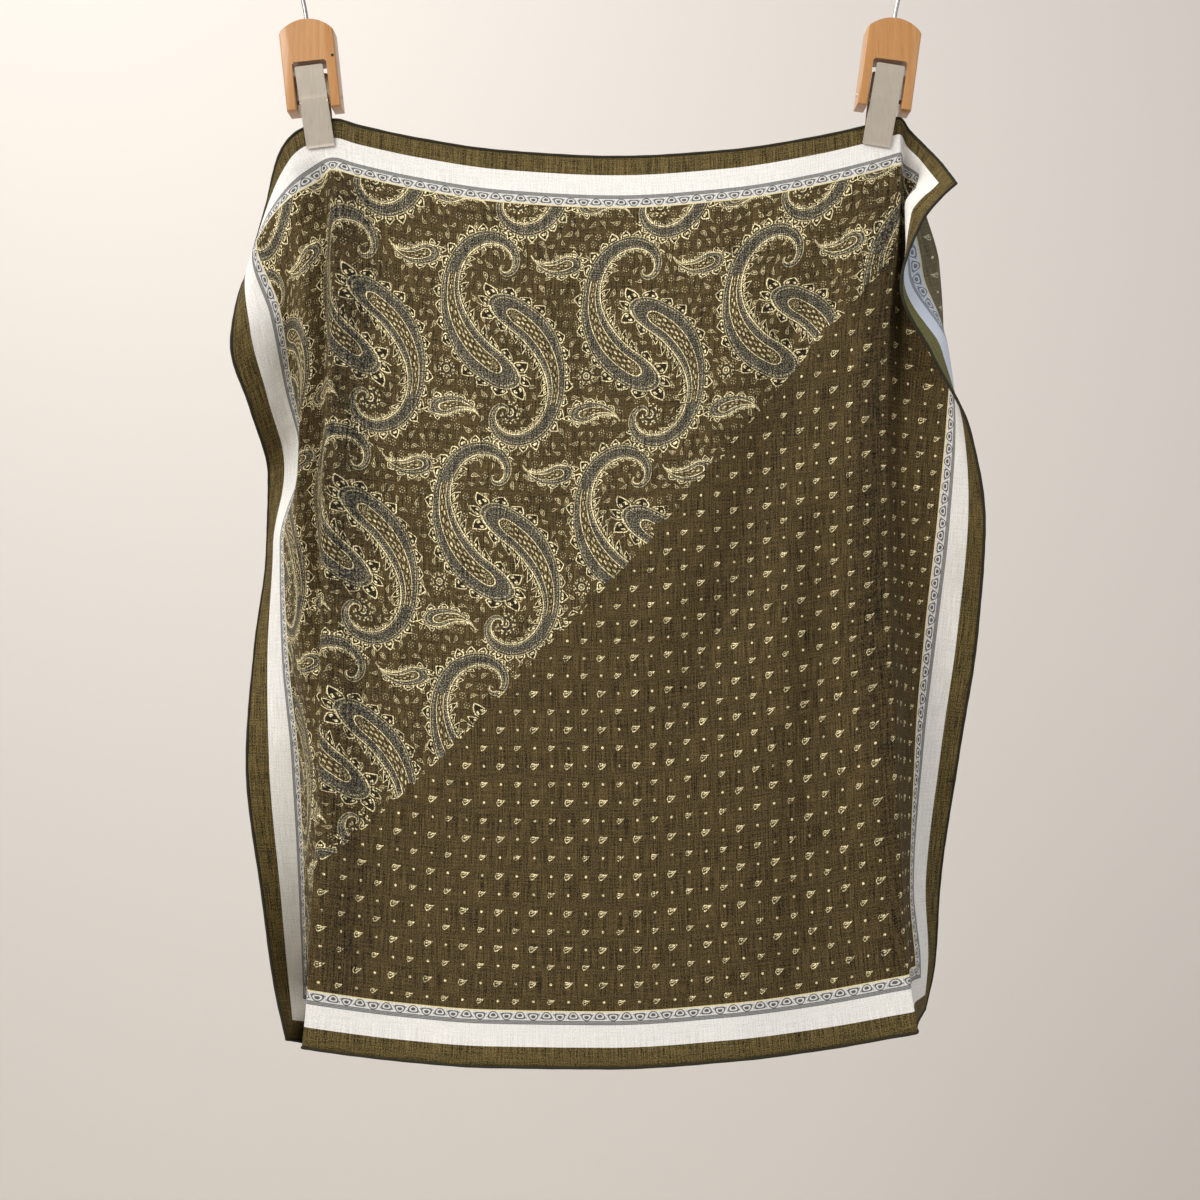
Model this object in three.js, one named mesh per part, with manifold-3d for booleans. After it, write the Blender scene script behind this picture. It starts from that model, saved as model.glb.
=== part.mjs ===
// Square silk scarf hung from two wood and steel clips on wire hooks.
// Millimetres, +Z up. The origin is on the rail's axis, midway between the hooks. The face looks along -Y.
import * as THREE from 'three';
import { mergeVertices } from 'three/addons/utils/BufferGeometryUtils.js';
import Module from 'manifold-3d';

// Driving dimensions of the scarf
const SIDE = 650; // the square, laid flat
const WALL = 1.2; // cloth wall of the solid
const HEM_R = 1.0; // radius of the rolled hem
const HEM_CLEAR = 1.5; // that the side hems stop short of the panel's corners
const SEAM_GAP = 0.8; // between two pieces that meet
const VIEW = 1250; // distance in front of the cloth from which the outline columns are sighted
const EYE_Z = -478; // height that they are sighted from

// Flat distance of each fold line from the left edge
const LINE = {
  hem: 0, border: 42, roll: 85, valley: 108, edge: 127.5,
  crease: 553.5, back: 572, fold: 595, turn: 618, far: 650,
};

// Sections of the left side, from the top edge down. down is the flat distance from the top edge.
// Each line has its sighted x and its depth y.
const LEFT = [
  { down: 0, hem: [-248, 34], border: [-236, 12], roll: [-227, 2], valley: [-215, 0], edge: [-188, 0] },
  { down: 23, hem: [-250, 30], border: [-239, 10], roll: [-223, 1], valley: [-211, 0], edge: [-189, 0] },
  { down: 46, hem: [-255, 18], border: [-243, 8], roll: [-219, 0], valley: [-197, 8], edge: [-189, -1] },
  { down: 92, hem: [-262, 0], border: [-227, 14], roll: [-210, -2], valley: [-193, 9], edge: [-189, -3] },
  { down: 149, hem: [-248, 12], border: [-219, 32], roll: [-210, -3], valley: [-194, 8], edge: [-190, -6] },
  { down: 212, hem: [-235, 60], border: [-210, 38], roll: [-213, -4], valley: [-197, 7], edge: [-193, -9] },
  { down: 283, hem: [-236, 70], border: [-224, 34], roll: [-215, -4], valley: [-200, 6], edge: [-196, -11] },
  { down: 368, hem: [-245, 76], border: [-221, 44], roll: [-210, 6], valley: [-194, 4], edge: [-198, -14] },
  { down: 453, hem: [-251, 55], border: [-213, 60], roll: [-206, 22], valley: [-198, 2], edge: [-199, -16] },
  { down: 552, hem: [-239, 38], border: [-209, 60], roll: [-205, 21], valley: [-203, -2], edge: [-204, -20] },
  { down: 609, hem: [-231, 28], border: [-208, 58], roll: [-207, 19], valley: [-207, -4], edge: [-207, -22] },
  { down: 650, hem: [-222, 20], border: [-210, 54], roll: [-210, 16], valley: [-210, -6], edge: [-211, -24] },
];

// Sections of the right side, in the same way
const RIGHT = [
  { down: 0, crease: [211, 0], back: [219, 9], fold: [230, 3], turn: [241, -12], far: [253, -28] },
  { down: 23, crease: [212, 0], back: [216, 14], fold: [226, 8], turn: [231, -9], far: [242, -27] },
  { down: 46, crease: [213, 0], back: [214, 19], fold: [227, 13], turn: [216, -2], far: [228, -22] },
  { down: 92, crease: [210, -2], back: [214, 19], fold: [240, 12], turn: [218, -10], far: [213, -35] },
  { down: 149, crease: [204, -5], back: [215, 14], fold: [243, 12], turn: [246, -6], far: [235, -32] },
  { down: 212, crease: [202, -8], back: [213, 8], fold: [234, 6], turn: [252, -6], far: [262, -28] },
  { down: 283, crease: [203, -10], back: [212, 8], fold: [228, 12], turn: [248, 4], far: [273, -16] },
  { down: 368, crease: [205, -13], back: [212, 6], fold: [221, 22], turn: [239, 28], far: [268, 16] },
  { down: 453, crease: [209, -16], back: [212, 4], fold: [217, 24], turn: [229, 40], far: [255, 46] },
  { down: 552, crease: [214, -20], back: [215, 0], fold: [217, 21], turn: [222, 44], far: [241, 62] },
  { down: 609, crease: [219, -22], back: [219, -2], fold: [220, 19], turn: [227, 42], far: [237, 62] },
  { down: 650, crease: [225, -24], back: [224, -4], fold: [225, 17], turn: [227, 40], far: [230, 60] },
];

// Sighted heights of four of the lines
const HEIGHTS = [
  { down: 0, hem: -240, edge: -137, crease: -136, far: -183 },
  { down: 23, hem: -248, edge: -157, crease: -154, far: -193 },
  { down: 46, hem: -260, edge: -177, crease: -173, far: -211 },
  { down: 92, hem: -298, edge: -230, crease: -227, far: -256 },
  { down: 149, hem: -343, edge: -287, crease: -283, far: -305 },
  { down: 212, hem: -391, edge: -352, crease: -347, far: -358 },
  { down: 283, hem: -444, edge: -424, crease: -415, far: -423 },
  { down: 368, hem: -513, edge: -510, crease: -491, far: -501 },
  { down: 453, hem: -593, edge: -597, crease: -578, far: -585 },
  { down: 552, hem: -693, edge: -697, crease: -687, far: -679 },
  { down: 609, hem: -750, edge: -755, crease: -744, far: -734 },
  { down: 650, hem: -790, edge: -796, crease: -785, far: -768 },
];

// The front between them: sag is the extra drop at its middle, billow the depth that its middle stands behind
const FRONT = [
  { down: 0, sag: 27, billow: 5 },
  { down: 46, sag: 29, billow: -2 },
  { down: 92, sag: 22, billow: -5 },
  { down: 212, sag: 20, billow: -10 },
  { down: 368, sag: 24, billow: -15 },
  { down: 552, sag: 22, billow: -20 },
  { down: 650, sag: 20, billow: -22 },
];

// Soft folds of the front: start and end on the flat cloth, depth (behind is +) and half width
const SOFT_FOLDS = [
  { name: 'clip_trough', from: [524, 34], to: [384, 470], depth: 8, half: 26 },
  { name: 'right_ridge', from: [480, 180], to: [466, 600], depth: -5, half: 20 },
  { name: 'short_crease', from: [506, 250], to: [502, 470], depth: 6, half: 15 },
  { name: 'outer_ridge', from: [532, 150], to: [530, 620], depth: -4, half: 15 },
  { name: 'left_trough', from: [190, 60], to: [232, 640], depth: 5, half: 30 },
  { name: 'middle_trough', from: [330, 40], to: [318, 330], depth: 4, half: 34 },
];

// Driving dimensions of the clips
const BLOCK = {
  width: 38, height: 63, thick: 22, rise: 8.5, slot: 24, slotTop: 29.5, slotRound: 1,
  bevel: 0.8, hole: 1.85, holeDeep: 12, pinDrop: 54.8,
};
// open and tip are the half gaps at the pin and at the tip, and flare leans the upper plate out
const JAW = {
  width: 20, thick: 1, above: 22, below: 33.6, open: 7.2, tip: 1.15, flare: 3.7, lap: 0.5,
  ear: 7, earThick: 0.9, earIn: 0.6, earRim: 1.6, frontEarIn: 0.5, backEarIn: 2.1,
};
const PIN = { radius: 1.4, clear: 0.3, proud: 0.8 };
const SPRING = { wire: 0.6, radius: 2.5, turns: 3.5, pitch: 1.9, leg: 13, splay: 5.6, legShare: 0.14 };
const HOOK = { wire: 1.5, radius: 15.5, neck: 30, lip: 3, reach: 10, footGap: 1.5, wrap: 1.12 };
const ROD_SIDES = 12;
const CLIPS = [
  { name: 'left', railX: -214, apex: [-207.5, -70.1], blockTilt: 6, jawTilt: 7.4 },
  { name: 'right', railX: 215, apex: [208, -69.4], blockTilt: -7.6, jawTilt: -9.4 },
];

const STEEL = { color: 0xb5aa98, roughness: 0.42, metalness: 0.85 };
const CLOTH = { color: 0x4f4430, roughness: 0.85, metalness: 0 };
const HEM = { color: 0x2b2a14, roughness: 0.9, metalness: 0 };
const WOOD = { color: 0xd29b58, roughness: 0.55, metalness: 0 };
const COIL = { color: 0x9a9a98, roughness: 0.35, metalness: 0.9 };

// Booleans: a closed geometry as a solid, and back
const wasm = await Module();
wasm.setup();
const { Manifold, Mesh: SolidMesh } = wasm;

function toSolid(geometry) {
  const bare = geometry.clone();
  bare.deleteAttribute('normal');
  bare.deleteAttribute('uv');
  const merged = mergeVertices(bare, 1e-4);
  return new Manifold(new SolidMesh({
    numProp: 3,
    vertProperties: new Float32Array(merged.attributes.position.array),
    triVerts: new Uint32Array(merged.index.array),
  }));
}

function toGeometry(solid) {
  const mesh = solid.getMesh();
  const geometry = new THREE.BufferGeometry();
  geometry.setAttribute('position', new THREE.BufferAttribute(new Float32Array(mesh.vertProperties), 3));
  geometry.setIndex(Array.from(mesh.triVerts));
  return geometry;
}

// Smooth curve through rising places that never overshoots them
function smoothCurve(at, values) {
  const last = at.length - 1;
  const step = at.slice(1).map((place, i) => place - at[i]);
  const rate = step.map((gap, i) => (values[i + 1] - values[i]) / gap);
  const slope = at.map((_, i) => {
    if (i === 0) return rate[0];
    if (i === last) return rate[last - 1];
    if (rate[i - 1] * rate[i] <= 0) return 0;
    const a = 2 * step[i] + step[i - 1];
    const b = step[i] + 2 * step[i - 1];
    return (a + b) / (a / rate[i - 1] + b / rate[i]);
  });
  return (place) => {
    let i = 0;
    while (i < last - 1 && place > at[i + 1]) i += 1;
    const t = (place - at[i]) / step[i];
    const rest = 1 - t;
    return values[i] * (1 + 2 * t) * rest * rest + slope[i] * step[i] * t * rest * rest
      + values[i + 1] * t * t * (3 - 2 * t) - slope[i + 1] * step[i] * t * t * rest;
  };
}

// One column of a section table as a curve of the flat distance down
function column(table, read) {
  return smoothCurve(table.map((row) => row.down), table.map(read));
}

const LEFT_LINES = ['hem', 'border', 'roll', 'valley', 'edge'];
const RIGHT_LINES = ['crease', 'back', 'fold', 'turn', 'far'];
const sideCurves = {};
for (const [table, lines] of [[LEFT, LEFT_LINES], [RIGHT, RIGHT_LINES]]) {
  for (const line of lines) {
    sideCurves[line] = { x: column(table, (row) => row[line][0]), y: column(table, (row) => row[line][1]) };
  }
}
const heightAt = {
  hem: column(HEIGHTS, (row) => row.hem),
  edge: column(HEIGHTS, (row) => row.edge),
  crease: column(HEIGHTS, (row) => row.crease),
  far: column(HEIGHTS, (row) => row.far),
};
const sagAt = column(FRONT, (row) => row.sag);
const billowAt = column(FRONT, (row) => row.billow);

function ease(low, high, value) {
  const t = Math.min(1, Math.max(0, (value - low) / (high - low)));
  return t * t * (3 - 2 * t);
}

// Depth that the soft folds add at a flat place
function foldDepth(across, down) {
  let depth = 0;
  for (const fold of SOFT_FOLDS) {
    const t = (down - fold.from[1]) / (fold.to[1] - fold.from[1]);
    const middle = fold.from[0] + (fold.to[0] - fold.from[0]) * t;
    const side = (across - middle) / fold.half;
    depth += fold.depth * Math.exp(-side * side) * ease(0, 0.3, t) * (1 - ease(0.7, 1, t));
  }
  return depth;
}

// The sighted section at one distance down: x, depth and height as curves of the flat distance across
const FRONT_STEPS = [0.04, 0.15, 0.3, 0.5, 0.7, 0.85, 0.96];
const sectionCache = new Map();
function sectionAt(down) {
  if (sectionCache.has(down)) return sectionCache.get(down);
  const places = [];
  const xs = [];
  const ys = [];
  const zs = [];
  const put = (across, x, y, z) => {
    places.push(across);
    xs.push(x);
    ys.push(y);
    zs.push(z);
  };
  const edgeZ = heightAt.edge(down);
  const creaseZ = heightAt.crease(down);
  for (const line of LEFT_LINES) {
    const out = (LINE.edge - LINE[line]) / LINE.edge;
    const z = edgeZ + (heightAt.hem(down) - edgeZ) * out ** 1.3;
    put(LINE[line], sideCurves[line].x(down), sideCurves[line].y(down), z);
  }
  const edge = { x: xs.at(-1), y: ys.at(-1) };
  const crease = { x: sideCurves.crease.x(down), y: sideCurves.crease.y(down) };
  for (const t of FRONT_STEPS) {
    const plateau = ease(0.06, 0.42, t) * (1 - ease(0.6, 0.95, t));
    const x = edge.x + (crease.x - edge.x) * t;
    const y = edge.y + (crease.y - edge.y) * t + billowAt(down) * plateau;
    const z = edgeZ + (creaseZ - edgeZ) * t - sagAt(down) * 4 * t * (1 - t);
    put(LINE.edge + (LINE.crease - LINE.edge) * t, x, y, z);
  }
  for (const line of RIGHT_LINES) {
    const out = (LINE[line] - LINE.crease) / (LINE.far - LINE.crease);
    const z = creaseZ + (heightAt.far(down) - creaseZ) * out;
    put(LINE[line], sideCurves[line].x(down), sideCurves[line].y(down), z);
  }
  const section = { x: smoothCurve(places, xs), y: smoothCurve(places, ys), z: smoothCurve(places, zs) };
  sectionCache.set(down, section);
  return section;
}

// The cloth's middle surface: a flat place to its place in space
function clothPoint(across, down) {
  const section = sectionAt(down);
  const y = section.y(across) + foldDepth(across, down);
  const reach = 1 + y / VIEW;
  return new THREE.Vector3(section.x(across) * reach, y, EYE_Z + (section.z(across) - EYE_Z) * reach);
}

// Unit directions at a flat place: across, down and out of the face
const PROBE = 0.8;
function clothFrame(across, down) {
  const right = Math.min(SIDE, across + PROBE);
  const low = Math.min(SIDE, down + PROBE);
  const left = Math.max(0, across - PROBE);
  const high = Math.max(0, down - PROBE);
  const alongAcross = clothPoint(right, down).sub(clothPoint(left, down)).normalize();
  const alongDown = clothPoint(across, low).sub(clothPoint(across, high)).normalize();
  const out = new THREE.Vector3().crossVectors(alongDown, alongAcross).normalize();
  return { at: clothPoint(across, down), alongAcross, alongDown, out };
}

// Grid stations, closer together where the cloth folds tightly
function stations(spans) {
  const places = [spans[0].from];
  for (const { from, to, count } of spans) {
    for (let i = 1; i <= count; i += 1) places.push(from + ((to - from) * i) / count);
  }
  return places;
}

const INSET = 2 * HEM_R + SEAM_GAP;
const ACROSS = stations([
  { from: INSET, to: 70, count: 10 },
  { from: 70, to: 140, count: 14 },
  { from: 140, to: 545, count: 22 },
  { from: 545, to: 560, count: 3 },
  { from: 560, to: 586, count: 10 },
  { from: 586, to: 608, count: 4 },
  { from: 608, to: SIDE - INSET, count: 6 },
]);
const DOWN = stations([
  { from: INSET, to: 150, count: 12 },
  { from: 150, to: SIDE - INSET, count: 23 },
]);

function closedGeometry(points, faces) {
  const geometry = new THREE.BufferGeometry();
  const places = new Float32Array(points.flatMap((p) => [p.x, p.y, p.z]));
  geometry.setAttribute('position', new THREE.BufferAttribute(places, 3));
  geometry.setIndex(faces.flat());
  return geometry;
}

// The panel: a face and a reverse half a wall out of the middle surface, closed round its rim
function panelGeometry() {
  const columns = ACROSS.length;
  const rows = DOWN.length;
  const face = [];
  const reverse = [];
  for (const down of DOWN) {
    for (const across of ACROSS) {
      const { at, out } = clothFrame(across, down);
      face.push(at.clone().addScaledVector(out, WALL / 2));
      reverse.push(at.clone().addScaledVector(out, -WALL / 2));
    }
  }
  const total = face.length;
  const spot = (i, j) => j * columns + i;
  const faces = [];
  for (let j = 0; j < rows - 1; j += 1) {
    for (let i = 0; i < columns - 1; i += 1) {
      const [a, b, c, d] = [spot(i, j), spot(i + 1, j), spot(i + 1, j + 1), spot(i, j + 1)];
      faces.push([a, d, b], [b, d, c]);
      faces.push([a + total, b + total, d + total], [b + total, c + total, d + total]);
    }
  }
  const rim = [];
  for (let i = 0; i < columns - 1; i += 1) rim.push(spot(i, 0));
  for (let j = 0; j < rows - 1; j += 1) rim.push(spot(columns - 1, j));
  for (let i = columns - 1; i > 0; i -= 1) rim.push(spot(i, rows - 1));
  for (let j = rows - 1; j > 0; j -= 1) rim.push(spot(0, j));
  rim.forEach((a, k) => {
    const b = rim[(k + 1) % rim.length];
    faces.push([a, b, a + total], [b, b + total, a + total]);
  });
  return closedGeometry([...face, ...reverse], faces);
}

// A rolled hem: a tube beside the panel's rim. ends says how far it runs on past the rim's corners.
const HEM_SIDES = 6;
function hemGeometry(rim, ends) {
  const rings = rim.map(({ at, outward, along, out }) => {
    const side = outward.clone().addScaledVector(along, -outward.dot(along)).normalize();
    const lift = out.clone().addScaledVector(side, -out.dot(side)).normalize();
    return { centre: at.clone().addScaledVector(side, SEAM_GAP + HEM_R), side, lift, along };
  });
  rings[0].centre.addScaledVector(rings[0].along, -ends);
  rings.at(-1).centre.addScaledVector(rings.at(-1).along, ends);
  const points = [];
  for (const { centre, side, lift } of rings) {
    for (let k = 0; k < HEM_SIDES; k += 1) {
      const turn = (Math.PI * 2 * (k + 0.5)) / HEM_SIDES;
      const out = side.clone().multiplyScalar(HEM_R * Math.cos(turn));
      points.push(centre.clone().add(out).addScaledVector(lift, HEM_R * Math.sin(turn)));
    }
  }
  const start = rings[0].centre;
  const finish = rings.at(-1).centre;
  points.push(start.clone(), finish.clone());
  const faces = [];
  const handed = rings[0].side.clone().cross(rings[0].lift).dot(rings[0].along) > 0;
  const push = (a, b, c) => faces.push(handed ? [a, b, c] : [a, c, b]);
  for (let j = 0; j < rings.length - 1; j += 1) {
    for (let k = 0; k < HEM_SIDES; k += 1) {
      const a = j * HEM_SIDES + k;
      const b = j * HEM_SIDES + ((k + 1) % HEM_SIDES);
      push(a, b, a + HEM_SIDES);
      push(b, b + HEM_SIDES, a + HEM_SIDES);
    }
  }
  const capA = rings.length * HEM_SIDES;
  const lastRing = (rings.length - 1) * HEM_SIDES;
  for (let k = 0; k < HEM_SIDES; k += 1) {
    const next = (k + 1) % HEM_SIDES;
    push(capA, next, k);
    push(capA + 1, lastRing + k, lastRing + next);
  }
  return closedGeometry(points, faces);
}

function rimAcross(down, sign) {
  return ACROSS.map((across) => {
    const { at, alongAcross, alongDown, out } = clothFrame(across, down);
    return { at, outward: alongDown.clone().multiplyScalar(sign), along: alongAcross, out };
  });
}

function rimDown(across, sign) {
  return DOWN.map((down) => {
    const { at, alongAcross, alongDown, out } = clothFrame(across, down);
    return { at, outward: alongAcross.clone().multiplyScalar(sign), along: alongDown, out };
  });
}

const model = new THREE.Group();
function addPiece(parent, name, geometry, look) {
  const mesh = new THREE.Mesh(geometry, new THREE.MeshStandardMaterial(look));
  mesh.name = name;
  parent.add(mesh);
  return mesh;
}

// The cloth and its four rolled hems
addPiece(model, 'scarf_cloth', panelGeometry(), CLOTH);
addPiece(model, 'hem_top', hemGeometry(rimAcross(INSET, -1), INSET), HEM);
addPiece(model, 'hem_bottom', hemGeometry(rimAcross(SIDE - INSET, 1), INSET), HEM);
addPiece(model, 'hem_left', hemGeometry(rimDown(INSET, -1), -HEM_CLEAR), HEM);
addPiece(model, 'hem_right', hemGeometry(rimDown(SIDE - INSET, 1), -HEM_CLEAR), HEM);

function boxAt(wide, deep, tall, x, y, z) {
  return new THREE.BoxGeometry(wide, deep, tall).translate(x, y, z);
}

function rod(radius, length) {
  return new THREE.CylinderGeometry(radius, radius, length, ROD_SIDES);
}

// Wood block: an arched fork, its apex at the origin, with a slot for the jaws and a blind hole for the hook
function blockGeometry(pinDrop, pinTurn) {
  const half = BLOCK.width / 2;
  const radius = (half * half + BLOCK.rise * BLOCK.rise) / (2 * BLOCK.rise);
  const swing = Math.asin(half / radius);
  const outline = new THREE.Shape();
  outline.absarc(0, -radius, radius, Math.PI / 2 + swing, Math.PI / 2 - swing, true);
  outline.lineTo(half, -BLOCK.height);
  outline.lineTo(BLOCK.slot / 2, -BLOCK.height);
  const slotSide = BLOCK.slot / 2;
  const slotFlat = slotSide - BLOCK.slotRound;
  const slotStart = BLOCK.slotTop + BLOCK.slotRound;
  outline.lineTo(slotSide, -slotStart);
  outline.quadraticCurveTo(slotSide, -BLOCK.slotTop, slotFlat, -BLOCK.slotTop);
  outline.lineTo(-slotFlat, -BLOCK.slotTop);
  outline.quadraticCurveTo(-slotSide, -BLOCK.slotTop, -slotSide, -slotStart);
  outline.lineTo(-BLOCK.slot / 2, -BLOCK.height);
  outline.lineTo(-half, -BLOCK.height);
  const { bevel } = BLOCK;
  const fork = new THREE.ExtrudeGeometry(outline, {
    depth: BLOCK.thick - 2 * bevel, curveSegments: 8, bevelEnabled: true,
    bevelThickness: bevel, bevelSize: bevel, bevelOffset: -bevel, bevelSegments: 1,
  });
  fork.rotateX(Math.PI / 2).translate(0, BLOCK.thick / 2 - bevel, 0);
  const hookHole = rod(BLOCK.hole, 2 * BLOCK.holeDeep).rotateX(Math.PI / 2);
  const pinHole = rod(PIN.radius + PIN.clear, 2 * BLOCK.width).rotateZ(Math.PI / 2);
  pinHole.rotateY(pinTurn).translate(0, 0, -pinDrop);
  return toGeometry(toSolid(fork).subtract(toSolid(hookHole)).subtract(toSolid(pinHole)));
}

// Jaw: a bent steel plate with two ears round the pin, the pin at the origin. side: -1 in front, 1 behind.
function jawGeometry(side, earX) {
  const lean = Math.atan2(JAW.open - JAW.tip, JAW.below);
  const flare = Math.atan2(JAW.flare, JAW.above);
  const middle = (side * JAW.thick) / 2;
  const lower = boxAt(JAW.width, JAW.thick, JAW.below, 0, middle, -JAW.below / 2);
  lower.rotateX(-side * lean).translate(0, side * JAW.open, 0);
  const tall = JAW.above + 2 * JAW.lap;
  const upper = boxAt(JAW.width, JAW.thick, tall, 0, middle, JAW.above / 2);
  upper.rotateX(-side * flare).translate(0, side * JAW.open, 0);
  let solid = toSolid(lower).add(toSolid(upper));
  const root = JAW.open + JAW.earIn;
  const reach = root + PIN.radius + JAW.earRim;
  for (const sign of [-1, 1]) {
    const ear = boxAt(JAW.earThick, reach, JAW.ear, sign * earX, side * (root - reach / 2), 0);
    solid = solid.add(toSolid(ear));
  }
  const bore = rod(PIN.radius + PIN.clear, 2 * JAW.width).rotateZ(Math.PI / 2);
  return toGeometry(solid.subtract(toSolid(bore)));
}

// Spring: a close coil round the pin, with a leg up inside each jaw
class CoilPath extends THREE.Curve {
  getPoint(t) {
    const half = (SPRING.turns * SPRING.pitch) / 2;
    const { legShare } = SPRING;
    const onCoil = (s) => {
      const turn = Math.PI * (1 + 2 * SPRING.turns * s);
      const deep = -SPRING.radius * Math.cos(turn);
      return new THREE.Vector3(half * (2 * s - 1), deep, SPRING.radius * Math.sin(turn));
    };
    const leg = (sign, s) => new THREE.Vector3(0, sign * SPRING.splay * s, SPRING.leg * s);
    if (t < legShare) return onCoil(0).add(leg(1, (legShare - t) / legShare));
    if (t > 1 - legShare) return onCoil(1).add(leg(-1, (t - 1 + legShare) / legShare));
    return onCoil((t - legShare) / (1 - 2 * legShare));
  }
}

function wireSection(radius, sides) {
  const ring = [];
  for (let k = 0; k < sides; k += 1) {
    const turn = (Math.PI * 2 * k) / sides;
    ring.push(new THREE.Vector2(radius * Math.cos(turn), radius * Math.sin(turn)));
  }
  return new THREE.Shape(ring);
}

function tube(path, radius, steps, sides) {
  const settings = { steps, extrudePath: path, bevelEnabled: false };
  return new THREE.ExtrudeGeometry(wireSection(radius, sides), settings);
}

// Hook: a foot in the block, a shank that leans to the rail, a neck behind it and an open ring over it
function hookPath(railX, foot, lip, axis) {
  const path = new THREE.CurvePath();
  const neck = new THREE.Vector3(railX, 0, -HOOK.neck);
  const underNeck = new THREE.Vector3(railX, 0, -HOOK.neck - HOOK.reach);
  path.add(new THREE.LineCurve3(foot, lip));
  path.add(new THREE.CubicBezierCurve3(lip, lip.clone().addScaledVector(axis, HOOK.reach), underNeck, neck));
  const back = new THREE.Vector3(railX, HOOK.radius, 0);
  const overNeck = new THREE.Vector3(railX, 0, HOOK.reach - HOOK.neck);
  const underBack = new THREE.Vector3(railX, HOOK.radius, -HOOK.radius);
  path.add(new THREE.CubicBezierCurve3(neck, overNeck, underBack, back));
  class Ring extends THREE.Curve {
    getPoint(t) {
      const turn = t * Math.PI * HOOK.wrap;
      return new THREE.Vector3(railX, HOOK.radius * Math.cos(turn), HOOK.radius * Math.sin(turn));
    }
  }
  path.add(new Ring());
  return path;
}

for (const clip of CLIPS) {
  const tilt = THREE.MathUtils.degToRad(clip.blockTilt);
  const pinTurn = -THREE.MathUtils.degToRad(clip.jawTilt - clip.blockTilt);
  const block = new THREE.Group();
  block.position.set(clip.apex[0], 0, clip.apex[1]);
  block.rotation.y = -tilt;
  model.add(block);
  addPiece(block, `${clip.name}_block`, blockGeometry(BLOCK.pinDrop, pinTurn), WOOD);

  const pivot = new THREE.Group();
  pivot.position.set(0, 0, -BLOCK.pinDrop);
  pivot.rotation.y = pinTurn;
  block.add(pivot);
  addPiece(pivot, `${clip.name}_front_jaw`, jawGeometry(-1, JAW.width / 2 - JAW.frontEarIn), STEEL);
  addPiece(pivot, `${clip.name}_back_jaw`, jawGeometry(1, JAW.width / 2 - JAW.backEarIn), STEEL);
  const pin = rod(PIN.radius, BLOCK.width + 2 * PIN.proud).rotateZ(Math.PI / 2);
  addPiece(pivot, `${clip.name}_pin`, pin, STEEL);
  addPiece(pivot, `${clip.name}_spring`, tube(new CoilPath(), SPRING.wire, 56, 5), COIL);

  const axis = new THREE.Vector3(-Math.sin(tilt), 0, Math.cos(tilt));
  const foot = block.position.clone().addScaledVector(axis, HOOK.footGap - BLOCK.holeDeep);
  const lip = block.position.clone().addScaledVector(axis, HOOK.lip);
  const path = hookPath(clip.railX, foot, lip, axis);
  addPiece(model, `${clip.name}_hook`, tube(path, HOOK.wire, 34, 8), COIL);
}

export default model;
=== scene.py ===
import math

import bmesh
import bpy
import numpy as np
from mathutils import Matrix, Vector


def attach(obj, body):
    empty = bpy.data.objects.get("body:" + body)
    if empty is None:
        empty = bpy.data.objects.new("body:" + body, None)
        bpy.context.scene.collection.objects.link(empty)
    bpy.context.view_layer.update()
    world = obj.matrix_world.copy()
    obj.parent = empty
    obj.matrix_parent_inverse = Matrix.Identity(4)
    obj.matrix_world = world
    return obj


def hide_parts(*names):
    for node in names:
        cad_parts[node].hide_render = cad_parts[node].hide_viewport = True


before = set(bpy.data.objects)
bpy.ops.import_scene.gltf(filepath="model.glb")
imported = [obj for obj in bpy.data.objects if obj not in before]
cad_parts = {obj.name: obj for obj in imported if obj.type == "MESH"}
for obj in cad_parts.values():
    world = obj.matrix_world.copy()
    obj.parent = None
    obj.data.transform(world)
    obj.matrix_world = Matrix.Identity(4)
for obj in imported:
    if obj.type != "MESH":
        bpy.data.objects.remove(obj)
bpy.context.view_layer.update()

# The silk square: one piece of printed voile, 650 mm a side, hung by its top edge from two clips.
# Its left side turns back behind the front. Its right side folds forward at the top and shows its reverse.
# The sheet is laid out in its own flat millimetres, across from the left edge and down from the top edge.
MM = 0.001
SIDE = 650.0
SHEET_WALL = 0.5
# the distance and the height of the eye from which the cloth's sections are sighted
VIEW = 1250.0
EYE_Z = -478.0
# how far across the flat cloth each line of the sections lies
FOLD_LINE = {
    "hem": 0, "border": 42, "roll": 85, "valley": 108, "edge": 127.5,
    "crease": 553.5, "back": 572, "fold": 595, "turn": 618, "far": 650,
}
LEFT_LINES = ("hem", "border", "roll", "valley", "edge")
RIGHT_LINES = ("crease", "back", "fold", "turn", "far")
# down, then sighted x and depth y of each line
LEFT_SIDE = [
    (0, (-248, 34), (-236, 12), (-227, 2), (-215, 0), (-188, 0)),
    (23, (-250, 30), (-239, 10), (-223, 1), (-211, 0), (-189, 0)),
    (46, (-255, 18), (-243, 8), (-219, 0), (-197, 8), (-189, -1)),
    (92, (-262, 0), (-227, 14), (-210, -2), (-193, 9), (-189, -3)),
    (149, (-248, 12), (-219, 32), (-210, -3), (-194, 8), (-190, -6)),
    (212, (-235, 60), (-210, 38), (-213, -4), (-197, 7), (-193, -9)),
    (283, (-236, 70), (-224, 34), (-215, -4), (-200, 6), (-196, -11)),
    (368, (-245, 76), (-221, 44), (-210, 6), (-194, 4), (-198, -14)),
    (453, (-251, 55), (-213, 60), (-206, 22), (-198, 2), (-199, -16)),
    (552, (-239, 38), (-209, 60), (-205, 21), (-203, -2), (-204, -20)),
    (609, (-231, 28), (-208, 58), (-207, 19), (-207, -4), (-207, -22)),
    (650, (-222, 20), (-210, 54), (-210, 16), (-210, -6), (-211, -24)),
]
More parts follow.
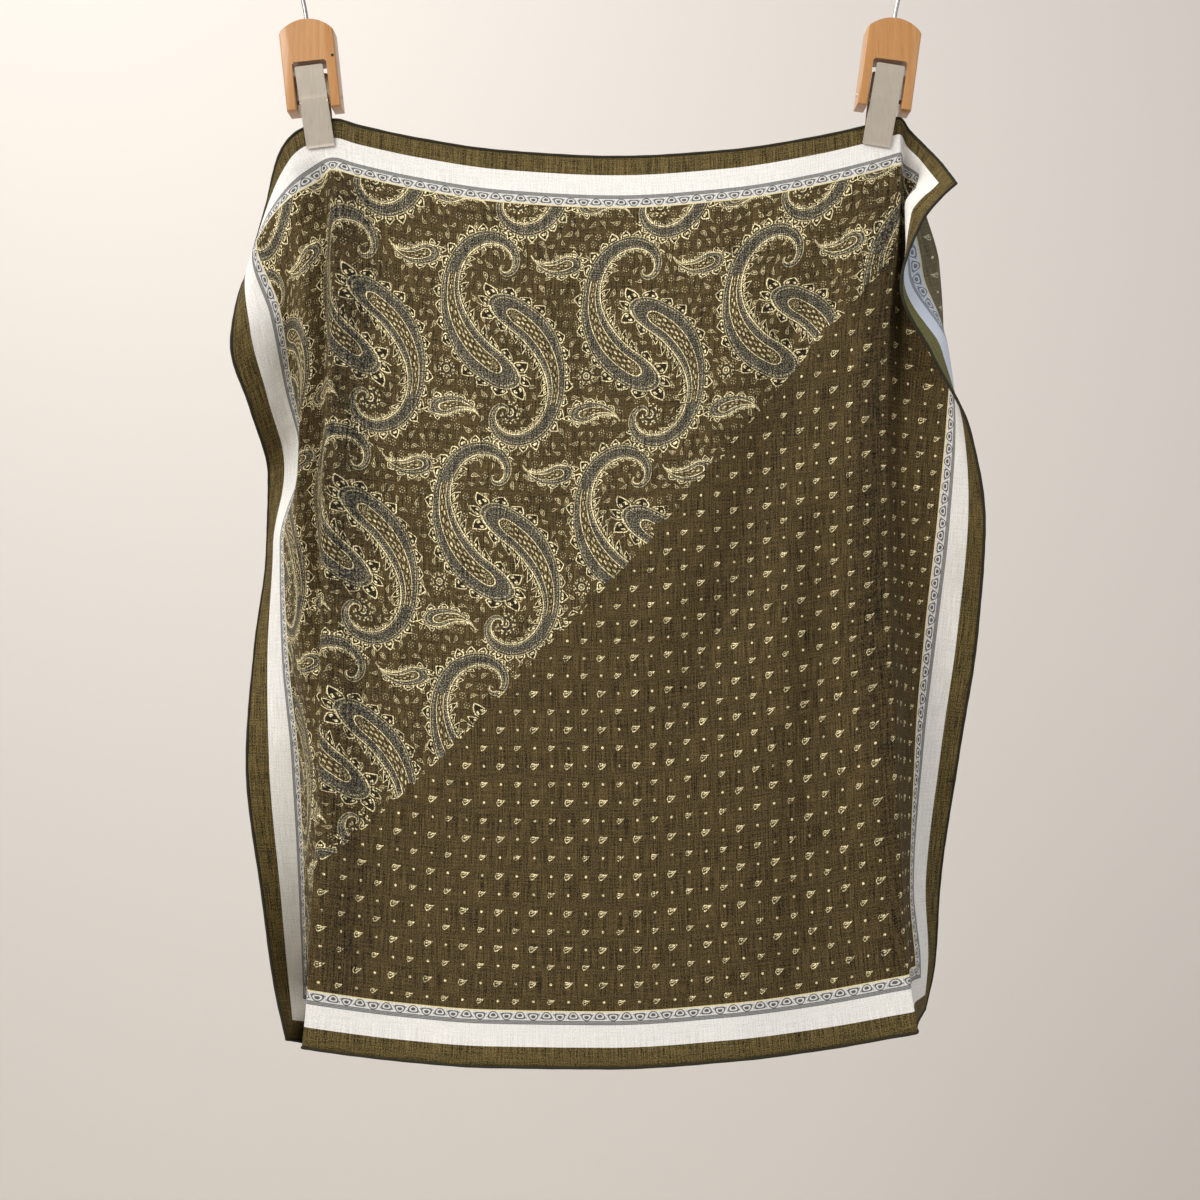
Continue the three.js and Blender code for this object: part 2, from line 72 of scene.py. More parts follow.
RIGHT_SIDE = [
    (0, (211, 0), (219, 9), (230, 3), (241, -12), (253, -28)),
    (23, (212, 0), (216, 14), (226, 8), (231, -9), (242, -27)),
    (46, (213, 0), (214, 19), (227, 13), (216, -2), (228, -22)),
    (92, (210, -2), (214, 19), (240, 12), (218, -10), (213, -35)),
    (149, (204, -5), (215, 14), (243, 12), (246, -6), (235, -32)),
    (212, (202, -8), (213, 8), (234, 6), (252, -6), (262, -28)),
    (283, (203, -10), (212, 8), (228, 12), (248, 4), (273, -16)),
    (368, (205, -13), (212, 6), (221, 22), (239, 28), (268, 16)),
    (453, (209, -16), (212, 4), (217, 24), (229, 40), (255, 46)),
    (552, (214, -20), (215, 0), (217, 21), (222, 44), (241, 62)),
    (609, (219, -22), (219, -2), (220, 19), (227, 42), (237, 62)),
    (650, (225, -24), (224, -4), (225, 17), (227, 40), (230, 60)),
]
# down, then the sighted heights at the left hem, the front's left edge, the right crease and the right hem
HEIGHTS = [
    (0, -240, -137, -136, -183), (23, -248, -157, -154, -193), (46, -260, -177, -173, -211),
    (92, -298, -230, -227, -256), (149, -343, -287, -283, -305), (212, -391, -352, -347, -358),
    (283, -444, -424, -415, -423), (368, -513, -510, -491, -501), (453, -593, -597, -578, -585),
    (552, -693, -697, -687, -679), (609, -750, -755, -744, -734), (650, -790, -796, -785, -768),
]
# down, then the front's extra drop at its middle and the depth that its middle stands behind
FRONT = [
    (0, 27, 5), (46, 29, -2), (92, 22, -5), (212, 20, -10), (368, 24, -15), (552, 22, -20), (650, 20, -22),
]
FRONT_STEPS = (0.04, 0.15, 0.3, 0.5, 0.7, 0.85, 0.96)
# how the height between the hem and the front's edge leaves the straight line
HEM_HANG = 1.3
# the shares of the front's width over which its middle comes forward, and goes back again
BILLOW_RISE = (0.06, 0.42)
BILLOW_FALL = (0.6, 0.95)
# Soft folds: flat start, flat end, depth and half width
SOFT_FOLDS = [
    ((524, 34), (384, 470), 8, 26), ((480, 180), (466, 600), -5, 20), ((506, 250), (502, 470), 6, 15),
    ((532, 150), (530, 620), -4, 15), ((190, 60), (232, 640), 5, 30), ((330, 40), (318, 330), 4, 34),
]


def smooth_curve(at, values):
    at = np.asarray(at, float)
    values = np.asarray(values, float)
    step = np.diff(at)
    rate = np.diff(values) / step
    slope = np.zeros(len(at))
    slope[0] = rate[0]
    slope[-1] = rate[-1]
    for i in range(1, len(at) - 1):
        if rate[i - 1] * rate[i] > 0:
            a = 2 * step[i] + step[i - 1]
            b = step[i] + 2 * step[i - 1]
            slope[i] = (a + b) / (a / rate[i - 1] + b / rate[i])

    def value(place):
        i = np.clip(np.searchsorted(at, place, side="left") - 1, 0, len(at) - 2)
        t = (place - at[i]) / step[i]
        rest = 1 - t
        start = values[i] * (1 + 2 * t) * rest * rest + slope[i] * step[i] * t * rest * rest
        return start + values[i + 1] * t * t * (3 - 2 * t) - slope[i + 1] * step[i] * t * t * rest

    return value


def ease(low, high, value):
    t = np.clip((value - low) / (high - low), 0, 1)
    return t * t * (3 - 2 * t)


def side_curves(rows, lines):
    at = [row[0] for row in rows]
    return {
        line: [smooth_curve(at, [row[1 + k][axis] for row in rows]) for axis in (0, 1)]
        for k, line in enumerate(lines)
    }


left_curves = side_curves(LEFT_SIDE, LEFT_LINES)
right_curves = side_curves(RIGHT_SIDE, RIGHT_LINES)
height_of = [smooth_curve([row[0] for row in HEIGHTS], [row[k] for row in HEIGHTS]) for k in range(1, 5)]
sag_of, billow_of = (smooth_curve([row[0] for row in FRONT], [row[k] for row in FRONT]) for k in (1, 2))


def section(down):
    hem_z, edge_z, crease_z, far_z = (float(curve(down)) for curve in height_of)
    rows = []
    for line in LEFT_LINES:
        out = (FOLD_LINE["edge"] - FOLD_LINE[line]) / FOLD_LINE["edge"]
        x, y = (float(curve(down)) for curve in left_curves[line])
        rows.append((FOLD_LINE[line], x, y, edge_z + (hem_z - edge_z) * out ** HEM_HANG))
    edge = rows[-1]
    crease_x, crease_y = (float(curve(down)) for curve in right_curves["crease"])
    for t in FRONT_STEPS:
        plateau = float(ease(*BILLOW_RISE, t) * (1 - ease(*BILLOW_FALL, t)))
        across = FOLD_LINE["edge"] + (FOLD_LINE["crease"] - FOLD_LINE["edge"]) * t
        x = edge[1] + (crease_x - edge[1]) * t
        y = edge[2] + (crease_y - edge[2]) * t + float(billow_of(down)) * plateau
        rows.append((across, x, y, edge_z + (crease_z - edge_z) * t - float(sag_of(down)) * 4 * t * (1 - t)))
    for line in RIGHT_LINES:
        out = (FOLD_LINE[line] - FOLD_LINE["crease"]) / (FOLD_LINE["far"] - FOLD_LINE["crease"])
        x, y = (float(curve(down)) for curve in right_curves[line])
        rows.append((FOLD_LINE[line], x, y, crease_z + (far_z - crease_z) * out))
    columns = list(zip(*rows))
    return [smooth_curve(columns[0], columns[k]) for k in (1, 2, 3)]


# Small creases left by folding and handling: flat start, flat end, depth and half width
CREASES = [
    ((548, 20), (470, 150), 1.6, 7), ((552, 60), (500, 260), 1.8, 8), ((540, 30), (500, 60), -1.2, 6),
    ((136, 30), (190, 130), 1.4, 7), ((140, 60), (165, 230), 1.2, 8), ((420, 60), (400, 240), 0.9, 12),
    ((270, 60), (285, 260), 0.8, 14), ((488, 330), (492, 520), 1.5, 9), ((520, 300), (519, 480), 1.4, 7),
    ((160, 330), (170, 620), 1.2, 12), ((250, 400), (262, 640), 0.9, 16), ((410, 470), (404, 640), 0.9, 15),
    ((60, 60), (48, 250), 1.6, 9), ((72, 200), (64, 420), 1.4, 9), ((600, 240), (606, 460), 1.3, 8),
]
# Painted shade: the silk's colour darkened where folds stand in shade with a second layer close behind:
# flat start, flat end, share and half width
PAINTED_FOLD_SHADE = [
    ((138, 15), (146, 340), 0.44, 20), ((146, 300), (156, 645), 0.3, 15), ((548, 20), (538, 430), 0.36, 15),
    ((546, 380), (549, 640), 0.24, 11), ((500, 140), (395, 430), 0.16, 20), ((470, 420), (462, 640), 0.1, 16),
]
# shares of the length over which a fold, a crease and a strip of painted shade come up, and die away again
FOLD_ENDS = (0, 0.3, 0.7, 1)
CREASE_ENDS = (0, 0.35, 0.65, 1)
PAINTED_SHADE_ENDS = (-0.05, 0.15, 0.8, 1.05)
# the cloth's fine ripples: depth, spacing across, how far and how often they sway, and their patches
RIPPLE_DEEP = 0.35
RIPPLE_STEP = 9.1
RIPPLE_SWAY = 1.7
RIPPLE_SWAY_STEP = 61
RIPPLE_PATCH_DOWN = 47
RIPPLE_PATCH_ACROSS = 130
# the ripples grow over this length below the top hem
RIPPLE_FREE = 60


def strips(across, down, table, ends):
    """The sum of a table's soft strips at one height. Each comes up and dies away along its length."""
    total = np.zeros_like(across)
    rise_from, rise_to, fall_from, fall_to = ends
    for (u0, v0), (u1, v1), peak, half in table:
        t = (down - v0) / (v1 - v0)
        side = (across - (u0 + (u1 - u0) * t)) / half
        rise = ease(rise_from, rise_to, t)
        total += peak * np.exp(-side * side) * rise * (1 - ease(fall_from, fall_to, t))
    return total


def ripple_depth(across, down):
    sway = RIPPLE_SWAY * np.sin(down / RIPPLE_SWAY_STEP)
    patch = np.sin(down / RIPPLE_PATCH_DOWN + across / RIPPLE_PATCH_ACROSS)
    return RIPPLE_DEEP * np.sin(across / RIPPLE_STEP + sway) * patch * ease(0, RIPPLE_FREE, down)


def cloth_places(across, down):
    """Middle surface in millimetres for a row of across places and a column of down places."""
    spots = np.zeros((len(down), len(across), 3))
    for j, low in enumerate(down):
        x_of, y_of, z_of = section(float(low))
        creased = strips(across, low, CREASES, CREASE_ENDS) + ripple_depth(across, low)
        y = y_of(across) + strips(across, low, SOFT_FOLDS, FOLD_ENDS) + creased
        reach = 1 + y / VIEW
        spots[j, :, 0] = x_of(across) * reach
        spots[j, :, 1] = y
        spots[j, :, 2] = EYE_Z + (z_of(across) - EYE_Z) * reach
    return spots


def stations(spans):
    places = [spans[0][0]]
    for start, end, count in spans:
        places += [start + (end - start) * (i + 1) / count for i in range(count)]
    return np.array(places)


def outward(spots, across, down):
    along_across = np.gradient(spots, across, axis=1)
    along_down = np.gradient(spots, down, axis=0)
    out = np.cross(along_down, along_across)
    return out / np.linalg.norm(out, axis=2, keepdims=True)


def mesh_piece(name, points, faces, materials):
    mesh = bpy.data.meshes.new(name)
    mesh.from_pydata([tuple(p) for p in points], [], faces)
    for material in materials:
        mesh.materials.append(material)
    piece = bpy.data.objects.new(name, mesh)
    bpy.context.scene.collection.objects.link(piece)
    mesh.shade_smooth()
    return piece


# how far the sheet's edge lies inside the rolled hem's
HEM_SETBACK = 1.3
# start, end and number of steps of each stretch of the sheet's grid
ACROSS = stations([
    (HEM_SETBACK, 70, 26), (70, 140, 44), (140, 545, 90), (545, 608, 40), (608, SIDE - HEM_SETBACK, 20),
])
DOWN = stations([(HEM_SETBACK, 150, 62), (150, SIDE - HEM_SETBACK, 156)])
spots = cloth_places(ACROSS, DOWN)
normals = outward(spots, ACROSS, DOWN)
columns = len(ACROSS)
rows = len(DOWN)
layer = columns * rows
face_spots = (spots + normals * SHEET_WALL / 2).reshape(-1, 3)
reverse_spots = (spots - normals * SHEET_WALL / 2).reshape(-1, 3)
sheet_faces = []
face_slots = []
for j in range(rows - 1):
    for i in range(columns - 1):
        a = j * columns + i
        quad = (a, a + columns, a + columns + 1, a + 1)
        sheet_faces += [quad, tuple(layer + k for k in reversed(quad))]
        face_slots += [0, 1]
rim = list(range(columns - 1))
rim += [j * columns + columns - 1 for j in range(rows - 1)]
rim += [(rows - 1) * columns + i for i in range(columns - 1, 0, -1)]
rim += [j * columns for j in range(rows - 1, 0, -1)]
for k, a in enumerate(rim):
    b = rim[(k + 1) % len(rim)]
    sheet_faces.append((a, b, b + layer, a + layer))
    face_slots.append(0)


class Wire:
    """A value on its way through a material, so that sums of values read as sums."""

    def __init__(self, tree, socket):
        self.tree = tree
        self.socket = socket

    def math(self, operation, *others):
        node = self.tree.nodes.new("ShaderNodeMath")
        node.operation = operation
        for place, value in zip(node.inputs, (self, *others)):
            connect(self.tree, value, place)
        return Wire(self.tree, node.outputs[0])

    def __add__(self, other):
        return self.math("ADD", other)

    __radd__ = __add__

    def __sub__(self, other):
        return self.math("SUBTRACT", other)

    def __rsub__(self, other):
        return (-self) + other

    def __mul__(self, other):
        return self.math("MULTIPLY", other)

    __rmul__ = __mul__

    def __truediv__(self, other):
        return self.math("DIVIDE", other)

    def __neg__(self):
        return self.math("MULTIPLY", -1.0)

    def __abs__(self):
        return self.math("ABSOLUTE")


def connect(tree, value, place):
    if isinstance(value, Wire):
        tree.links.new(value.socket, place)
    else:
        place.default_value = value


def math_step(operation):
    """A function that takes a value through one math node."""
    return lambda value, *others: value.math(operation, *others)


least = math_step("MINIMUM")
most = math_step("MAXIMUM")
floor_of = math_step("FLOOR")
sine = math_step("SINE")
cosine = math_step("COSINE")
root = math_step("SQRT")
power = math_step("POWER")
below = math_step("LESS_THAN")
above = math_step("GREATER_THAN")


def between(a, low, high):
    return above(a, low) * below(a, high)


def either(*masks):
    """1 where any of the masks is 1."""
    total = masks[0]
    for mask in masks[1:]:
        total = most(total, mask)
    return total


def repeat(a, pitch, start=0.0):
    """Distance from the nearest of the places start, start + pitch, and so on."""
    turns = (a - start) / pitch
    return (turns - floor_of(turns + 0.5)) * pitch


def number(a, pitch):
    """How many pitches the nearest whole one lies from nought."""
    return floor_of(a / pitch + 0.5)


def blended(tree, factor, low, high):
    """low where factor is 0 and high where it is 1. Both are colours."""
    node = tree.nodes.new("ShaderNodeMix")
    node.data_type = "RGBA"
    connect(tree, factor, node.inputs[0])
    connect(tree, low, node.inputs[6])
    connect(tree, high, node.inputs[7])
    return Wire(tree, node.outputs[2])


def noise(tree, vector, scale, detail):
    node = tree.nodes.new("ShaderNodeTexNoise")
    tree.links.new(vector, node.inputs["Vector"])
    node.inputs["Scale"].default_value = scale
    node.inputs["Detail"].default_value = detail
    return Wire(tree, node.outputs["Fac"])


def mapped(tree, vector, scale):
    node = tree.nodes.new("ShaderNodeMapping")
    tree.links.new(vector, node.inputs["Vector"])
    node.inputs["Scale"].default_value = scale
    return node.outputs["Vector"]


def bumped(tree, height, distance, strength):
    node = tree.nodes.new("ShaderNodeBump")
    node.inputs["Distance"].default_value = distance
    node.inputs["Strength"].default_value = strength
    connect(tree, height, node.inputs["Height"])
    return node.outputs["Normal"]


def finish_of(name, roughness, metallic=0.0):
    material = bpy.data.materials.new(name)
    material.use_nodes = True
    shader = material.node_tree.nodes["Principled BSDF"]
    shader.inputs["Roughness"].default_value = roughness
    shader.inputs["Metallic"].default_value = metallic
    return material, material.node_tree, shader


# Widths on the flat print: olive border, white border, band of small motifs, and the field inside them
OLIVE_EDGE = 15.9
WHITE_EDGE = 32.1
BAND_EDGE = 42.3
# the band's fine grey lines end at the first, and its small commas lie along the second
GREY_EDGE = 35.2
MOTIF_LINE = 38.2
FIELD_PITCH = 25.13
BAND_PITCH = 9.43


def rgb(red, green, blue):
    """A screen colour as the light that it stands for."""
    shares = [level / 255 for level in (red, green, blue)]
    light = [((share + 0.055) / 1.055) ** 2.4 if share > 0.04045 else share / 12.92 for share in shares]
    return (*light, 1.0)


PRINT_COLOURS = {
    "ground": rgb(78, 64, 37), "olive": rgb(92, 78, 44), "white": rgb(236, 232, 225),
    "cream": rgb(228, 212, 164), "slate": rgb(52, 49, 47), "ink": rgb(60, 60, 62), "shade": rgb(46, 37, 21),
}
REVERSE_COLOURS = {
    "ground": rgb(106, 98, 76), "olive": rgb(112, 108, 68), "white": rgb(214, 221, 232),
    "cream": rgb(206, 202, 172), "slate": rgb(112, 112, 114), "ink": rgb(108, 110, 116),
    "shade": rgb(92, 86, 66),
}


def curve_of(value, low, high, points):
    """A smooth curve through points, read at a value that runs from low to high."""
    node = value.tree.nodes.new("ShaderNodeFloatCurve")
    curve = node.mapping.curves[0]
    places = [((x - low) / (high - low), y) for x, y in points]
    for k, (x, y) in enumerate(places):
        point = curve.points[k] if k < 2 else curve.points.new(x, y)
        point.location = (x, y)
    node.mapping.update()
    connect(value.tree, (value - low) / (high - low), node.inputs["Value"])
    return Wire(value.tree, node.outputs[0])


# The small comma in shares of its length: its bend, its tilt, its half width at the middle, how fast its tail
# narrows, its widest half width, how fast its head widens, and its outline
COMMA_BEND = 0.5
COMMA_TILT = 0.3
COMMA_MIDDLE = 0.25
COMMA_TAPER = 0.5
COMMA_HALF = 0.34
COMMA_HEAD = 2.2
COMMA_LINE = 0.13
COMMA_OPEN = (-0.4, 0.2)
# the stroke inside it: how far it lies under the middle, its half width, and where it starts and ends
STROKE_LOW = 0.05
STROKE_HALF = 0.055
STROKE_RUN = (-0.3, 0.1)


def little_comma(along, cross, long):
    """A small lying comma, its head at the left and its tail up at the right: outline and inner stroke."""
    run = along / long
    lean = cross / long + COMMA_BEND * run * run + COMMA_TILT * run
    wide = least(least(COMMA_MIDDLE - COMMA_TAPER * run, COMMA_HALF), (run + 0.5) * COMMA_HEAD)
    body = above(wide - abs(lean), 0.0) * below(abs(run), 0.5)
    core = above(wide - abs(lean), COMMA_LINE) * between(run, *COMMA_OPEN)
    stroke = below(abs(lean + STROKE_LOW), STROKE_HALF) * between(run, *STROKE_RUN)
    return body * (1.0 - core), stroke


# The paisley half repeats every 107 by 148 mm. Each large comma has a curl, a long arm and a round head.
PAISLEY_REPEAT = (107.0, 148.0)
CURL_R = 8.3
GROWTH = 0.46
ARM_START = -4.2
ARM_END = 5.4
LARGE_HALF = [
    (-4.2, 0.10), (-3.2, 0.24), (-2, 0.30), (0, 0.30), (1.5, 0.25), (2.7, 0.19), (3.5, 0.165),
    (3.9, 0.195), (4.3, 0.215), (4.65, 0.185), (5.4, 0.18),
]
DROP_HALF = [(-4.2, 0.01), (-0.3, 0.02), (0.3, 0.15), (0.8, 0.25), (1.2, 0.29), (5.4, 0.29)]
LEAF_SHAPE = [(0, 0.38), (0.25, 0.43), (0.6, 0.27), (1.0, 0.0)]
LEAF_PITCH = 33.1
# Leaves round a comma: how fast their number and their width grow outwards, how they fan round its head,
# how far one side's are shifted, their common height, how much it varies and how often, and their lean
LEAF_COUNT_POWER = 0.6
LEAF_WIDTH_POWER = 0.4
LEAF_FAN = 1.8
LEAF_SHIFT = 0.43
LEAF_COMMON = 0.84
LEAF_VARY = 0.2
LEAF_VARY_STEP = 2.4
LEAF_LEAN = 0.34
# the radius at which the leaves reach their full height
LEAF_FULL_R = 30.0
# Widths in millimetres: a leaf's outline, the lines at its heart, the comma's soft and inner edge lines
LEAF_LINE = 0.85
LEAF_HEART = (1.7, 3.4)
LEAF_HEART_RUN = (0.18, 0.42)
SOFT_EDGE = (-0.3, 0.25)
SOFT_EDGE_SHARE = 0.55
INNER_EDGE = (0.1, 0.8)
# the drop inside a comma: how far before the head it starts, its outline, and the flowers inside it
CORE_LEAD = 1.3
CORE_LINE = 0.6
FLOWER_ALONG = 7.5
FLOWER_ACROSS = 1.7
FLOWER_EDGE = 0.35
FLOWER_INSET = 1.3
FLOWER_SHARE = 0.7
# the dashes inside the outline: their line, how often they come, how long they are and how pale
DASH_LINE = (1.5, 2.2)
DASH_RATE = 25.1
DASH_EDGE = -0.3
DASH_SHARE = 0.5
# the part of the leaves' height that the plain ground round a comma takes
CLEAR_SHARE = 0.3
# a distance that lies outside every comma
OUTSIDE = 50.0
# where the arm starts, where its head starts, the head's length, its half widths, where the leaves start,
# their height and rate, and the inner drop's edge as a share of the half width
DROP = (-0.35, 1.15, 0.30, DROP_HALF, 0.1, 5.2, 10.0, 0.5)
LARGE = (ARM_START, 4.62, 0.30, LARGE_HALF, 0.7, 7.6, 7.0, 0.58)
DROP_SIZE = 1.8
DROP_TURN = -1.81
# middle and half height of the part of the repeat that holds the first drop. The second lies in the rest.
DROP_PART = (99.0, 37.0)
# centre and radius of each rosette
ROSETTES = [((2, 15), 5.0), ((52, 42), 6.2)]
# a rosette in shares of its radius: petals, inner ring, middle, petal tips, ring of dashes, ground round it
PETALS = (0.5, 1.0)
PETAL_COUNT = 7.0
INNER_RING = (0.35, 0.5)
ROSETTE_MIDDLE = 0.18
PETAL_TIP = 0.84
OUTER_RING = (1.08, 1.26)
OUTER_DASH = 0.3
ROSETTE_GROUND = 1.3


def comma_place(u, v, spot, lead):
    """Place seen from the nearest repeat's curl. lead is how far the comma's middle lies from its curl."""
    x = repeat(u, PAISLEY_REPEAT[0], spot[0] + lead[0]) + lead[0]
    y = repeat(v, PAISLEY_REPEAT[1], spot[1] + lead[1]) + lead[1]
    return x, -y


def comma_layers(x, y, turn, size, start, head, head_long, half_widths, leaf_from, tall, rate, drop_in):
    """A comma on a logarithmic spiral: its ground, leaves, body, inner drop and lines, each as a mask."""
    radius = root(x * x + y * y) + 0.01
    angle = y.math("ARCTAN2", x) - turn
    lap = (radius / (CURL_R * size)).math("LOGARITHM", math.e) / GROWTH
    arm = angle + floor_of((lap - angle) / (2 * math.pi) + 0.5) * (2 * math.pi)
    off = (lap - arm) * GROWTH
    half = curve_of(arm, ARM_START, ARM_END, half_widths)
    past = most(arm - head, 0.0) / head_long
    away = root((off / half) * (off / half) + past * past)
    started = above(arm, start)
    inside = (1.0 - away) * half * radius * started + (started - 1.0) * OUTSIDE
    middle = (least(arm, head) * GROWTH).math("EXPONENT")
    fan = past.math("ARCTAN2", abs(off) / half) * LEAF_FAN
    phase = power(middle, LEAF_COUNT_POWER) * rate + fan + above(off, 0.0) * LEAF_SHIFT
    short = least(radius / LEAF_FULL_R, 1.0)
    varied = LEAF_COMMON + LEAF_VARY * sine(floor_of(phase + 0.5) * LEAF_VARY_STEP)
    t = -inside / (short * tall * varied)
    pitch = power(middle, LEAF_WIDTH_POWER) * (size * LEAF_PITCH / rate)
    leaning = repeat(phase, 1.0) + t * LEAF_LEAN - LEAF_LEAN / 2
    leaf = (curve_of(t, 0.0, 1.0, LEAF_SHAPE) - abs(leaning)) * pitch
    in_leaf = between(t, -0.02, 1.0) * above(leaf, 0.0) * above(arm, leaf_from)
    heart = between(leaf, *LEAF_HEART) * between(t, *LEAF_HEART_RUN)
    leaf_line = in_leaf * either(below(leaf, LEAF_LINE), heart)
    body = above(inside, 0.0)
    soft_edge = between(inside, *SOFT_EDGE) * SOFT_EDGE_SHARE
    edge = either(soft_edge, between(inside, *INNER_EDGE) * below(off, 0.0))
    core = inside - half * radius * drop_in
    in_core = above(core, 0.0) * above(arm, head - CORE_LEAD)
    core_line = in_core * below(core, CORE_LINE)
    petals = above(sine(phase * FLOWER_ALONG) * sine(core * FLOWER_ACROSS), FLOWER_EDGE)
    flowers = in_core * petals * above(core, FLOWER_INSET) * FLOWER_SHARE
    dashes = between(inside, *DASH_LINE) * above(sine(phase * DASH_RATE), DASH_EDGE) * DASH_SHARE
    clear = between(inside, -tall * CLEAR_SHARE, 0.0) * (1.0 - in_leaf)
    return clear, in_leaf, body, in_core, either(leaf_line, edge, core_line, flowers, body * dashes)


# the sprigs strewn over the ground: spacing, how far one strays, its shortest length and how much that varies
SPRIG_PITCH = 7.8
SPRIG_STRAY = 3.0
SPRIG_SHORT = 1.7
SPRIG_VARY = 1.5
WHOLE_TURN = 6.283
# a sprig's leaf: bend, line widths, the heart's half length, and its stalk
SPRIG_BEND = 0.8
SPRIG_LINE = 0.5
SPRIG_HEART = 1.0
SPRIG_HEART_RUN = 0.3
STALK_HALF = 0.22
STALK_RUN = (0.9, 1.5)
# a ring of dots: its inner and outer radius, and its middle dot
DOT_RING = (1.6, 2.3)
DOT_COUNT = 6.0
DOT_MIDDLE = 0.5
# the share of sprigs that are leaves, and how pale leaves and dots are
LEAFY_SHARE = 0.68
SPRIG_PALE = 0.62
DOT_PALE = 0.42
# the numbers that scatter the sprigs
SCATTER_ACROSS = 12.9898
SCATTER_DOWN = 78.233
SCATTER_SIZE = 437.585


def scatter(i, j, salt):
    """A number from 0 to 1 that looks random but is the same each time for one cell and salt."""
    value = sine(i * SCATTER_ACROSS + j * SCATTER_DOWN + salt) * SCATTER_SIZE
    return value - floor_of(value)


def sprig_lines(u, v):
    """Small leaves and rings of dots strewn over the ground, each turned its own way."""
    j = number(v, SPRIG_PITCH)
    shifted = u + (j - floor_of(j / 2.0) * 2.0) * (SPRIG_PITCH / 2)
    i = number(shifted, SPRIG_PITCH)
    turn = scatter(i, j, 1.0) * WHOLE_TURN
    dx = repeat(shifted, SPRIG_PITCH) + (scatter(i, j, 5.0) - 0.5) * SPRIG_STRAY
    dy = repeat(v, SPRIG_PITCH) + (scatter(i, j, 9.0) - 0.5) * SPRIG_STRAY
    long = SPRIG_SHORT + scatter(i, j, 3.0) * SPRIG_VARY
    run = (dx * cosine(turn) + dy * sine(turn)) / long
    cross = dy * cosine(turn) - dx * sine(turn)
    bent = abs(cross - run * run * SPRIG_BEND)
    leaf = (1.0 - run * run) * long * 0.5 - bent
    heart = above(leaf, SPRIG_HEART) * below(abs(run), SPRIG_HEART_RUN)
    leaf_lines = either(between(leaf, 0.0, SPRIG_LINE), heart) * below(abs(run), 1.0)
    stalk = below(bent, STALK_HALF) * between(run, *STALK_RUN)
    far = root(dx * dx + dy * dy)
    dots = between(far, *DOT_RING) * above(sine(dy.math("ARCTAN2", dx) * DOT_COUNT), 0.0)
    dots = either(dots, below(far, DOT_MIDDLE))
    leafy = below(scatter(i, j, 7.0), LEAFY_SHARE)
    return either(leaf_lines, stalk) * leafy * SPRIG_PALE + dots * (1.0 - leafy) * DOT_PALE


# pale stipple on the commas' bodies: how fine it is, its threshold and its strength
STIPPLE_SCALE = 1.15
STIPPLE_EDGE = 0.53
STIPPLE_SHARE = 0.24
# place of the small drops' curl in the repeat and of their middle from it, for the first drop and the second
DROP_PLACES = [((69.7, 67.5), (8, 8)), ((22.3, 57), (-8, -8))]
# the same for the large commas, then their turn and size
LARGE_PLACES = [((42, 87), (-18, 32), 0.0, 1.0), ((48, 42), (18, -32), math.pi, 0.97)]
# the foulard's commas: the length of the small ones, how much longer the large ones are, and the dots' area
FIELD_COMMA = 5.5
FIELD_COMMA_MORE = 1.3
FIELD_DOT = 0.85
# how strongly the cream covers in the foulard, as the ink does in the band, and in the rosettes
FIELD_PALE = 0.9
ROSETTE_PALE = 0.85
# the ink all over the band
BAND_TINT = 0.16
# the band's small commas: how their line arches, their half sizes squared, rings and the dots between
BAND_ARCH = 0.09
BAND_RAISE = 0.5
BAND_WIDE = 15.5
BAND_TALL = 7.5
BAND_RING = (0.72, 1.0)
BAND_MIDDLE = 0.42
BAND_DOT_STEP = 4.7
BAND_DOT = 0.7
BAND_DOT_PALE = 0.7
# the grey lines beside the white border: least share of ink, how much more the lines have, how fine they are
GREY_LEAST = 0.62
GREY_MORE = 0.25
GREY_RATE = 6.2
# how far and over what size the line between the two halves wanders
SPLIT_STRAY = 24.0
SPLIT_SCALE = 0.11
# the share of the thread's tone and of the painted fold shade that the white borders lose
WHITE_SMOOTH = 0.85


